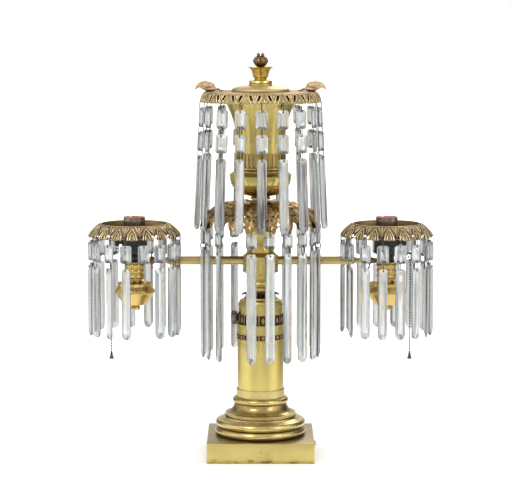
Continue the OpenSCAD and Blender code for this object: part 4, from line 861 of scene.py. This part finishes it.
# holes are (x, y, radius) through a leaf, tips are (x, y, z, sizes) of its curls
coronaSet = {"count": 20, "outer": 83.4, "arc": 45.0, "fromAngle": 128, "tipAngle": 17, "top": 354.0,
             "thick": 2.0, "hole": 1.3,
             "holes": ((0, -61, 2.4), (-5.6, -71, 2.0), (5.6, -71, 2.0), (0, -47, 1.8), (-3.6, -53, 1.4),
                       (3.6, -53, 1.4), (-2.6, -77, 1.3), (2.6, -77, 1.3)),
             "tips": ((0, -82.2, 321.4, (3.4, 1.5, 1.5)), (-6.6, -80.6, 325.4, (1.9, 1.5, 1.7)),
                      (6.6, -80.6, 325.4, (1.9, 1.5, 1.7)), (0, -74.5, 338.5, (1.0, 1.2, 4.2))),
             "hub": ((5.1, 322), (18, 322), (17.2, 324), (14, 327), (12.6, 334), (12.4, 346), (14.2, 350),
                     (15, 352), (15, 354), (5.1, 354))}


def makeCorona():
    # curled leaves on a ring, each one bent over the arc and cupped along its midrib
    one = coronaSet
    arcC = one["outer"] - one["arc"] * cos(radians(one["tipAngle"]))
    arcZ = one["top"] - 1 - one["arc"]
    leaf = bmesh.new()
    bmesh.ops.create_grid(leaf, x_segments=16, y_segments=52, size=1)
    for vertex in leaf.verts:
        across, along = vertex.co.x, (vertex.co.y + 1) / 2
        angle = radians(one["fromAngle"] - along * (one["fromAngle"] - one["tipAngle"]))
        width = (3.2 + 9.6 * sin(along * pi * 0.60) ** 1.1) * (1 - 0.26 * abs(sin(along * 15.7)))
        width *= 1 if along < 0.86 else 1 - ((along - 0.86) / 0.14) ** 2 * 0.55
        width = min(width, (arcC + one["arc"] * cos(angle)) * pi / one["count"] * 0.97)
        lift = 1.7 * (1 - abs(across)) ** 0.5 - 1.8 * abs(across) ** 2
        lift += 0.75 * sin(along * 47 + abs(across) * 4) * abs(across) ** 0.6
        reach = one["arc"] + lift - 1.8
        vertex.co = Vector((across * width, -(arcC + reach * cos(angle)), arcZ + reach * sin(angle))) * mm
    leaf = modified(leaf, "SOLIDIFY", thickness=one["thick"] * mm, offset=0)
    holes = bmesh.new()
    for x, y, radius in one["holes"]:
        addRod(holes, radius, 80, shift(x, y, 340), 14)
    hang = tierSet["corona"]
    addRod(holes, one["hole"], 16, shift(0, -hang["radius"], hang["height"]) @ turn(x=90))
    leaf = cutAway(leaf, holes)
    tips = bmesh.new()   # a rolled tip, its two side curls and the end of the midrib
    for x, y, z, sizes in one["tips"]:
        addBall(tips, shift(x, y, z), sizes, 12, 8)
    around = [turn(z=(number + 0.5) * 360 / one["count"]) for number in range(one["count"])]
    bm = bmesh.new()
    stampAll(bm, leaf, around)
    stampAll(bm, tips, around)
    addTo(bm, spun(one["hub"], 96))
    start = one["fromAngle"]   # a ring under the leaves' roots
    addTo(bm, spun(arcLine(arcC, arcZ, 44.6, start, 104, 6) + arcLine(arcC, arcZ, 42.8, 104, start, 6), 120))
    finishPiece(bm, "coronaLeaves", "upper", "coronaBronze", "corona", sharp=45)


makeCorona()
print("corona made")


def curledLeaf(width, length, curl, thick, teeth, cup=0.25):
    # a leaf that stands up from z = 0 and curls towards -Y, sizes in mm
    bm = bmesh.new()
    bmesh.ops.create_grid(bm, x_segments=8, y_segments=16, size=1)
    for vertex in bm.verts:
        across, along = vertex.co.x, (vertex.co.y + 1) / 2
        half = width / 2 * (sin(pi * (0.18 + 0.8 * along)) ** 0.8)
        half *= 1 - teeth * abs(sin(along * 15))
        bend = radians(curl) * along ** 2.2
        vertex.co = Vector((across * half, -sin(bend) * length * along * 0.55 + cup * width
                            * (across ** 2 - 0.5 * (1 - abs(across))),
                            length * along * (cos(bend) * 0.45 + 0.55))) * mm
    bmesh.ops.solidify(bm, geom=list(bm.faces), thickness=thick * mm)
    bmesh.ops.recalc_face_normals(bm, faces=bm.faces)
    return asMesh(bm)


crestSet = {"leaves": 14, "flutes": 30, "flute": (1.1, 0.9, 4.4), "base": 220.5, "foot": 16.5,
            "core": ((5.1, 0), (21, 0), (21, 1.2), (18.1, 2.4), (16.5, 4), (15.9, 7), (16.5, 10.5),
                     (5.1, 10.5))}


def makeLeafCrest():
    z, foot = crestSet["base"], crestSet["foot"]
    bm = spun(crestSet["core"], 96, base=z)
    stampAll(bm, curledLeaf(7.6, 10.4, 80, 0.9, teeth=0.12),
             ringOf(crestSet["leaves"], foot + 1.7, z + 0.8, lean=24))
    stampAll(bm, addBall(bmesh.new(), sizes=crestSet["flute"]),
             ringOf(crestSet["flutes"], foot - 0.3, z + 6.2))
    finishPiece(bm, "crestLeaves", "upper", "darkBronze", "leaf_crest", sharp=45)


# a band is low, high, outer and inner; the boss is turned round the screw
bandSet = {"lower": (163.0, 170.6, 33.0, 31.9), "upper": (184.0, 198.0, 32.2, 30.95), "figures": 18,
           "steps": 540, "ground": 0.22, "lip": 0.05, "clampZ": 192.0, "hole": 3.6,
           "finishes": ("bandGroundAndShade", "mattBrass"),
           "boss": ((3.1, 31.2), (4.6, 31.2), (5, 31.8), (5, 33.9), (4.5, 34.4), (3.1, 34.4))}


def reliefBand(low, high, outer, inner):
    # a band of solid lozenges and single bars in pale relief on a dark ground, between two thin lips
    ground, lip = inner + bandSet["ground"], outer - bandSet["lip"]
    rows = [(outer - 0.3, low), (lip, low + 0.25), (lip, low + 0.5)]
    rows += [(ground, low + 0.6 + (high - low - 1.2) * i / 8) for i in range(9)]
    rows += [(lip, high - 0.5), (lip, high - 0.25), (outer - 0.3, high), (inner, high), (inner, low)]
    bm = spun(rows, bandSet["steps"])
    middle, half = (low + high) / 2, (high - low) / 2 - 0.6
    for vertex in bm.verts:
        spot = vertex.co / mm
        radius = hypot(spot.x, spot.y)
        if abs(radius - ground) > 0.05 or abs(spot.z - middle) > half + 0.05:
            continue
        place = (azimuthOf(spot) * bandSet["figures"] / 360) % 1
        lozenge = abs(place - 0.31) / 0.31 + abs(spot.z - middle) / half < 0.9
        if lozenge or abs(place - 0.81) < 0.08:
            vertex.co.x *= 1 + (lip - ground) / radius
            vertex.co.y *= 1 + (lip - ground) / radius
    for face in bm.faces:
        spot = face.calc_center_median() / mm
        face.material_index = 1 if hypot(spot.x, spot.y) > (outer + ground) / 2 else 0
    return bm


def makeBands():
    finishPiece(reliefBand(*bandSet["lower"]), "lowerRelief", "stand", bandSet["finishes"], "lower_band")
    hole = bmesh.new()
    addRod(hole, bandSet["hole"], 20, shift(-32, 0, bandSet["clampZ"]) @ turn(y=90), 24)
    bm = addTo(bmesh.new(), cutAway(reliefBand(*bandSet["upper"]), hole))
    stampAll(bm, spun(bandSet["boss"], 32), [shift(0, 0, bandSet["clampZ"]) @ turn(y=-90)])
    finishPiece(bm, "upperRelief", "stand", bandSet["finishes"], "upper_band")


# heights of the knob are measured out along the screw from the column's axis
knobSet = {"ribs": 20, "rib": (0.8, 0.7, 3.6), "ribAt": (9.1, 37.3),
           "outline": ((0, 31.1), (2.5, 31.1), (3, 31.7), (3, 34.7), (5.5, 34.7), (5.5, 33), (8.8, 33),
                       (9.4, 33.9), (9.4, 40.1), (8.4, 41.1), (6.2, 41.3), (5, 40.5), (1.4, 41.1), (0, 41.5))}


def makeKnob():
    bm = spun(knobSet["outline"], 96, closed=False)
    ribX, ribZ = knobSet["ribAt"]
    stampAll(bm, addBall(bmesh.new(), sizes=knobSet["rib"]),
             [turn(z=number * 360 / knobSet["ribs"]) @ shift(ribX, 0, ribZ)
              for number in range(knobSet["ribs"])])
    data = asMesh(bm)
    data.transform(shift(0, 0, bandSet["clampZ"]) @ turn(y=-90))
    finishPiece(data, "clampKnob", "clamp", "knobMetal", "clamp_screw")


makeLeafCrest()
makeBands()
makeKnob()
print("neck and column ornaments made")


finialSet = {"petals": 6, "lobes": 8, "cupZ": 524.9, "cupHigh": 15.3, "budZ": 540.2,
             "cup": ((2.5, 0), (7.2, 0), (9.6, 0.8), (10.8, 2.6), (11.2, 5), (11.9, 8), (13.1, 11),
                     (15.2, 13.4), (17.2, 14.6), (17.4, 15.1), (16.4, 15.2), (13.4, 13.6), (11.4, 11),
                     (10, 7.6), (8.6, 5.6), (2.5, 5.4)),
             "bud": ((0, -9.4), (4.6, -9.4), (4.8, -1), (5.6, 0.4), (7.4, 2), (9.4, 4.6), (10.5, 7.4),
                     (10.4, 9.4), (9, 11.6), (7.2, 13.2), (5.6, 14.4), (3.4, 15), (0, 15.2)),
             "seed": (2.3, 2.0, 2.8)}


def makeFinial():
    one = finialSet
    z = one["cupZ"]
    bm = spun(one["cup"], 192, base=z)
    for vertex in bm.verts:   # grooves part the petals
        spot = vertex.co / mm
        if spot.z < z + 1.5 or hypot(spot.x, spot.y) < 9:
            continue
        place = (azimuthOf(spot) * one["petals"] / 360) % 1
        rise = (spot.z - z) / one["cupHigh"]
        groove = max(0, 1 - min(place, 1 - place) * 10)
        shrink = 1 - (0.11 + 0.06 * rise) * groove - 0.02 * (1 - abs(2 * place - 1))
        vertex.co.x *= shrink
        vertex.co.y *= shrink
        if rise > 0.86:
            vertex.co.z -= 1.4 * mm * groove
    finishPiece(bm, "finialPetals", "lid", "polishedBrass", "finial_cup")
    z = one["budZ"]
    bm = spun(one["bud"], 144, closed=False, base=z)
    for vertex in bm.verts:   # lobes that begin above the neck
        spot = vertex.co / mm
        if spot.z < z + 1:
            continue
        place = (azimuthOf(spot) * one["lobes"] / 360) % 1
        shrink = 1 - 0.16 * max(0, 1 - min(place, 1 - place) * 5) * min(1, (spot.z - z) / 6)
        vertex.co.x *= shrink
        vertex.co.y *= shrink
    smaller = Matrix.Diagonal((0.8, 0.7, 0.9, 1))
    seeds = ringOf(4, 4.2, z + 16.1, start=45)
    seeds += [place @ smaller for place in ringOf(one["lobes"], 8.1, z + 11.2, start=22.5, lean=-38)]
    stampAll(bm, addBall(bmesh.new(), sizes=one["seed"], segments=16, rings=12), seeds)
    finishPiece(bm, "finialBud", "lid", "darkBronze", "finial_bud")


makeFinial()


# each lump of the bird is a place over the rim's base and three half sizes
birdSet = {"base": 506.2, "voxel": 0.45, "headFrom": 80, "feather": 0.1, "lumps": (
    ((70, 0, 3.2), (8.6, 5.4, 3.4)), ((73.4, 0, 7.8), (10.6, 5.8, 6.4)), ((79.4, 0, 9.2), (6.4, 4.8, 5.0)),
    ((83.6, 0, 8.6), (4, 3.2, 3.6)), ((86.4, 0, 7.2), (2.8, 2.0, 2.5)), ((88.4, 0, 5.4), (1.6, 1.3, 2.2)),
    ((89.6, 0, 3.6), (0.8, 0.8, 1.5)), ((65.4, 0, 5.4), (4.4, 2.8, 2.8)), ((60, 0, 3.6), (4.4, 2.0, 1.7)),
    ((54.6, 0, 1.9), (3.8, 1.6, 1.3)), ((80.6, 4.1, 10.4), (1.4, 1.0, 1.4)),
    ((80.6, -4.1, 10.4), (1.4, 1.0, 1.4)), ((76, 0, 13.4), (5.2, 1.4, 1.2)))}


def makeBird(side):
    # breast, folded neck, head and hooked beak are joined by a fine remesh and smoothed
    z = birdSet["base"]
    bm = bmesh.new()
    for (x, y, up), sizes in birdSet["lumps"]:
        addBall(bm, shift(x, y, z + up), sizes, 16, 10)
    data = modified(bm, "REMESH", mode="VOXEL", voxel_size=birdSet["voxel"] * mm)
    bm = addTo(bmesh.new(), modified(data, "SMOOTH", factor=0.5, iterations=4))
    bm.normal_update()
    for vertex in bm.verts:   # rows of feathers behind the head
        spot = vertex.co / mm
        if spot.x < birdSet["headFrom"]:
            rows = sin(spot.x * 2.1 + abs(spot.y) * 0.8) * sin(spot.z * 1.9 + abs(spot.y) * 1.2)
            vertex.co += vertex.normal * (birdSet["feather"] * rows * mm)
    cutFacet(bm, (0, 0, (z + 0.05) * mm), (0, 0, -1), near=0)
    finishPiece(mirrored(bm, side), "bird", "upper", "birdBrass", "bird", sharp=60, side=side)


for armSide in (-1, 1):
    makeBird(armSide)
print("finial and birds made")


calyxSet = {"leaves": 8, "base": 311.0, "stem": 18.7,
            "ring": ((18.7, 6), (19.7, 6), (20.7, 8.6), (21.1, 11), (18.7, 11))}


def makeCalyx():
    base = calyxSet["base"]
    bm = spun(calyxSet["ring"], 96, base=base)
    stampAll(bm, curledLeaf(13, 12.2, 46, 0.9, teeth=0.08),
             ringOf(calyxSet["leaves"], calyxSet["stem"] + 0.6, base - 1.4, lean=8))
    finishPiece(bm, "stemCalyx", "upper", "polishedBrass", "stem_calyx")


makeCalyx()


plinthSet = {"wide": 148.0, "high": 27.5, "wall": 3.0, "edge": 0.9, "rod": 5.1, "cord": 3.8, "pinHole": 0.9}


def makePlinth():
    # a box that is open below, with holes for the rod and the cord and a pin hole in the front
    one = plinthSet
    wide, high, half = one["wide"], one["high"], one["wide"] / 2 * mm
    bm = makeBlock((wide, wide, high))
    bmesh.ops.translate(bm, vec=(0, 0, high / 2 * mm), verts=bm.verts)
    bmesh.ops.inset_individual(bm, faces=[f for f in bm.faces if f.normal.z < -0.9],
                               thickness=one["wall"] * mm)
    hollow = bmesh.ops.extrude_discrete_faces(bm, faces=[f for f in bm.faces if f.normal.z < -0.9 and
                                                         f.calc_area() > 0.015])
    bmesh.ops.translate(bm, vec=(0, 0, (high - one["wall"]) * mm),
                        verts=list({v for f in hollow["faces"] for v in f.verts}))
    outside = [e for e in bm.edges if all(max(abs(v.co.x), abs(v.co.y)) > half - 0.1 * mm for v in e.verts)]
    corners = [e for e in outside if all(min(abs(v.co.x), abs(v.co.y)) > half - 0.1 * mm for v in e.verts)]
    bmesh.ops.bevel(bm, geom=corners + [e for e in outside if e not in corners], offset=one["edge"] * mm,
                    segments=3, profile=0.5, affect="EDGES", material=-1)
    holes = bmesh.new()
    addRod(holes, one["rod"], 20, shift(0, 0, high), 32)
    addRod(holes, one["cord"], 20, shift(wide / 2 - 1.5, 0, high / 2) @ turn(y=90), 32)
    addRod(holes, one["pinHole"], 3, shift(0.4, -wide / 2, 15.2) @ turn(x=90), 16)
    finishPiece(cutAway(bm, holes), "plinthBox", "stand", "plinthBrass", "plinth")


makePlinth()
print("plinth made")


# leaves of a knuckle are (roll, width, depth), the core's height runs out along the arm
knuckleSet = {"from": 144.0, "leaves": ((0, 1, 1), (180, 1, 1), (90, 0.8, 0.55), (270, 0.8, 0.55)),
              "core": ((1.15, 0), (3.4, 0), (4.2, 1.4), (3, 2.8), (4.4, 5.76), (5, 8.64), (3.9, 12.24),
                       (3.4, 14.4), (1.15, 14.4)),
              "tongue": (6.6, 6, 4.4), "tongueAt": (160.8, 0, 272.7)}


def makeKnuckle(side):
    # a leafy knuckle: a turned core with curled leaves round it, and a tongue that enters the burner
    one = knuckleSet
    core = spun(one["core"], 32)
    stampAll(core, curledLeaf(6.4, 13, 105, 1.2, teeth=0.16),
             [turn(z=roll) @ shift(0, -3.0, 1.5) @ turn(x=10) @ Matrix.Diagonal((wide, deep, 1, 1))
              for roll, wide, deep in one["leaves"]])
    bm = bmesh.new()
    stampAll(bm, core, [shift(one["from"], 0, armSet["height"]) @ turn(y=90) @ turn(z=90)])
    stampAll(bm, makeBlock(one["tongue"], 0.5), [shift(*one["tongueAt"])])
    finishPiece(mirrored(bm, side), "knuckle", "upper", "darkBronze", "knuckle", sharp=50, side=side)


def toSide(bm, side):
    bmesh.ops.translate(bm, vec=(armSet["reach"] * mm, 0, 0), verts=bm.verts)
    return mirrored(bm, side)


socketSet = {"body": ((0, 284), (8.3, 284), (8.3, 270.3), (10.3, 270.3), (10.7, 270.8), (10.7, 276.7),
                      (11.3, 277.9), (16.7, 282.3), (17.7, 283.5), (17.9, 284.9), (17.9, 292.8),
                      (17.4, 293.3), (17.9, 293.8), (17.9, 311.3), (17.2, 312), (15.1, 312),
                      (15.1, 331.9), (14.7, 332.3), (13.9, 332.3), (13.9, 289.8), (5.2, 289.8),
                      (5.2, 286.4), (0, 286.4)),
             "floor": 289.8, "top": 333.0, "collar": 15.1, "shell": (13.3, 13.8), "thread": 3.6, "row": 0.6,
             "guide": (2.6, 8, 20.5, 297.0), "nozzleX": 24.5,
             "nozzle": ((2.1, -4.5), (3.0, -4.5), (3.3, -4.1), (3.3, 2.6), (2.9, 3.4), (3.3, 4.1), (3.0, 4.5),
                        (2.1, 4.5))}


def makeSocket(side):
    # the moulded body with the guide and nozzle of its chain, and the threaded shell inside
    one = socketSet
    bm = spun(one["body"], 96, closed=False)
    radius, long, x, z = one["guide"]
    guide = bmesh.new()
    addRod(guide, radius, long, shift(x, 0, z) @ turn(y=90), 24)
    addTo(bm, guide)
    stampAll(bm, spun(one["nozzle"], 32), [shift(one["nozzleX"], 0, z)])
    finishPiece(toSide(bm, side), "socketBody", "upper", "phenolic", "socket", side=side)
    inner, outer = one["shell"]
    floor, top, collar = one["floor"], one["top"], one["collar"]
    thread = [(inner + 0.25 + 0.25 * cos(number * one["row"] / one["thread"] * 2 * pi),
               floor + number * one["row"]) for number in range(int((top - floor) / one["row"]))]
    bm = spun([(outer, floor), (outer, top - 0.6), (collar - 0.2, top - 0.6), (collar, top - 0.3),
               (collar - 0.3, top), (outer - 0.2, top)] + thread[::-1], 96)
    finishPiece(toSide(bm, side), "screwShell", "upper", "copperSheet", "screw_shell", side=side)


# heights of the bell run up from its foot
chainSet = {"guideX": 24.5, "hangX": 33.0, "top": 300.0, "guideHigh": 9.0, "bend": 22.0, "bead": 1.3,
            "wire": 0.2, "pitch": 3.9, "beads": 41, "bellHigh": 9.0,
            "bell": ((0, 0), (2.9, 0), (3.4, 0.5), (3.4, 1.2), (2.9, 1.9), (2.108, 4.05), (1.53, 7.2),
                     (1.7, 7.92), (1.224, 9), (0, 9.4))}


def chainX(drop):
    one = chainSet
    share = min(1, max(0, (drop - one["guideHigh"]) / one["bend"]))
    return one["guideX"] + (one["hangX"] - one["guideX"]) * (1 - cos(share * pi)) / 2


def makeChain(side):
    one = chainSet
    bm, wire = bmesh.new(), bmesh.new()
    spots = [Vector((chainX(number * one["pitch"]), 0, one["top"] - number * one["pitch"]))
             for number in range(one["beads"])]
    bead = addBall(bmesh.new(), sizes=(one["bead"],) * 3, segments=14, rings=10)
    stampAll(bm, bead, [Matrix.Translation(spot * mm) for spot in spots])
    addRod(wire, one["wire"], 1, Matrix.Identity(4), 8)
    wires = []
    for first, second in zip(spots, spots[1:]):
        run = second - first
        wires.append(Matrix.Translation((first + second) / 2 * mm) @ run.to_track_quat("Z", "Y").to_matrix()
                     .to_4x4() @ Matrix.Diagonal((1, 1, run.length, 1)))
    stampAll(bm, wire, wires)
    foot = spots[-1].z - one["bellHigh"] - one["bead"]
    stampAll(bm, spun(one["bell"], 32, closed=False, base=foot), [shift(one["hangX"])])
    finishPiece(toSide(bm, side), "beadChain", "chain_left" if side < 0 else "chain_right", "chainNickel",
                "pull_chain", side=side)


for armSide in (-1, 1):
    makeKnuckle(armSide)
    makeSocket(armSide)
    makeChain(armSide)
print("arms, sockets and chains made")


# near and far are where the floor's glow and cards begin and end, in m from the lamp
studioSet = {"floor": (0.86, 0.86, 0.86), "floorRadius": 14, "room": 1.25, "glow": 0.1, "glowFar": 0.5,
             "near": 0.35, "far": 0.9, "farGlow": 2.0, "ceiling": (0.8, 0.8, 0.8), "paler": 0.85,
             # grey of the cards round the lamp: behind the camera 0, left, backdrop 0.5, right, camera 1
             "cards": ((0.0, 0.85), (0.06, 0.6), (0.11, 0.5), (0.15, 1.0), (0.2, 1.25), (0.27, 1.0),
                       (0.32, 0.7), (0.36, 0.16), (0.40, 0.2), (0.45, 0.6), (0.5, 0.85), (0.55, 0.6),
                       (0.6, 0.24), (0.635, 0.08), (0.70, 0.14), (0.75, 0.7), (0.79, 1.3), (0.84, 1.15),
                       (0.89, 0.42), (0.94, 0.5), (1.0, 0.85)),
             # place, aim, size and power of the softboxes
             "boxes": {"keyBox": ((-1.6, -2.4, 2.2), (0, 0, 0.3), (1.2, 1.2), 26),
                       "fillBox": ((2.0, -2.0, 1.4), (0, 0, 0.3), (1.0, 1.4), 13),
                       "backBox": ((0.6, 2.2, 2.0), (0, 0, 0.35), (1.4, 1.0), 14)}}


def cardsRound(tree, place):
    # the ring of pale and dark cards, picked by the direction from the lamp; glass sees them paler than metal
    x, y = partOf(tree, place, "X"), partOf(tree, place, "Y")
    around = between(tree, doMath(tree, "ARCTAN2", x, y), -pi, pi)
    cards = addNode(tree, "ShaderNodeValToRGB", {0: around})
    stops = cards.color_ramp.elements
    while len(stops) < len(studioSet["cards"]):
        stops.new(1.0)
    for stop, (at, grey) in zip(stops, studioSet["cards"]):
        stop.position = at
    for stop, (at, grey) in zip(stops, studioSet["cards"]):
        stop.color = (grey, grey * 0.98, grey * 0.96, 1)
    seen = addNode(tree, "ShaderNodeLightPath").outputs
    paler = doMath(tree, "MULTIPLY", seen["Is Transmission Ray"], studioSet["paler"])
    return mixColour(tree, paler, cards.outputs["Color"], (1, 1, 1)), seen


def makeWorld():
    world = bpy.data.worlds.new("studio")
    bpy.context.scene.world = world
    world.use_nodes = True
    tree = world.node_tree
    tree.nodes.clear()
    toward = addNode(tree, "ShaderNodeTexCoord").outputs["Generated"]
    cards, seen = cardsRound(tree, toward)
    room = mixColour(tree, between(tree, partOf(tree, toward, "Z"), 0.5, 0.85), cards, studioSet["ceiling"])
    room = mixColour(tree, seen["Is Camera Ray"], room, (1, 1, 1))
    shown = addNode(tree, "ShaderNodeBackground", {"Color": room})
    soft = addNode(tree, "ShaderNodeBackground", {"Color": (1, 1, 1), "Strength": studioSet["room"]})
    pick = doMath(tree, "MAXIMUM", seen["Is Camera Ray"], seen["Is Glossy Ray"])
    pick = doMath(tree, "MAXIMUM", pick, seen["Is Transmission Ray"])
    both = addNode(tree, "ShaderNodeMixShader", {0: pick, 1: soft.outputs[0], 2: shown.outputs[0]})
    addNode(tree, "ShaderNodeOutputWorld", {"Surface": both.outputs[0]})


def addSoftbox(name, place, aim, size, power):
    data = bpy.data.lights.new(name, "AREA")
    data.shape = "RECTANGLE"
    data.size, data.size_y = size
    data.energy = power
    box = bpy.data.objects.new(name, data)
    box.location = place
    box.rotation_euler = (Vector(aim) - Vector(place)).to_track_quat("-Z", "Y").to_euler()
    bpy.context.scene.collection.objects.link(box)


def makeFloor():
    bm = bmesh.new()
    bmesh.ops.create_circle(bm, cap_ends=True, segments=96, radius=studioSet["floorRadius"])
    data = asMesh(bm)
    floor = bpy.data.objects.new("studioFloor", data)
    bpy.context.scene.collection.objects.link(floor)
    floor.location.z = -0.2 * mm
    material, tree, shader, place = startMaterial("paleFloor")
    setInputs(tree, shader, {"Base Color": studioSet["floor"], "Roughness": 0.7, "Specular IOR Level": 0.1})
    cards, seen = cardsRound(tree, place)
    bent = doMath(tree, "MAXIMUM", seen["Is Glossy Ray"], seen["Is Transmission Ray"])
    pick = doMath(tree, "MAXIMUM", seen["Is Camera Ray"], bent)
    away = addNode(tree, "ShaderNodeVectorMath", {0: place}, operation="LENGTH").outputs["Value"]
    rising = between(tree, away, studioSet["near"], studioSet["farGlow"], studioSet["glow"],
                     studioSet["glowFar"])
    glow = addNode(tree, "ShaderNodeEmission", {"Strength": doMath(tree, "MULTIPLY", pick, rising)})
    both = addNode(tree, "ShaderNodeAddShader", {0: shader.outputs[0], 1: glow.outputs[0]})
    # away from the lamp, gloss and glass see the cards that stand round it
    standing = addNode(tree, "ShaderNodeEmission", {"Color": cards})
    share = doMath(tree, "MULTIPLY", bent, between(tree, away, studioSet["near"], studioSet["far"]))
    shown = addNode(tree, "ShaderNodeMixShader", {0: share, 1: both.outputs[0], 2: standing.outputs[0]})
    plug(tree, shown.outputs[0], tree.nodes["Material Output"].inputs["Surface"])
    data.materials.append(material)


makeWorld()
for name, values in studioSet["boxes"].items():
    addSoftbox(name, *values)
makeFloor()
bpy.context.scene.view_settings.view_transform = "Standard"
print("light and floor set")
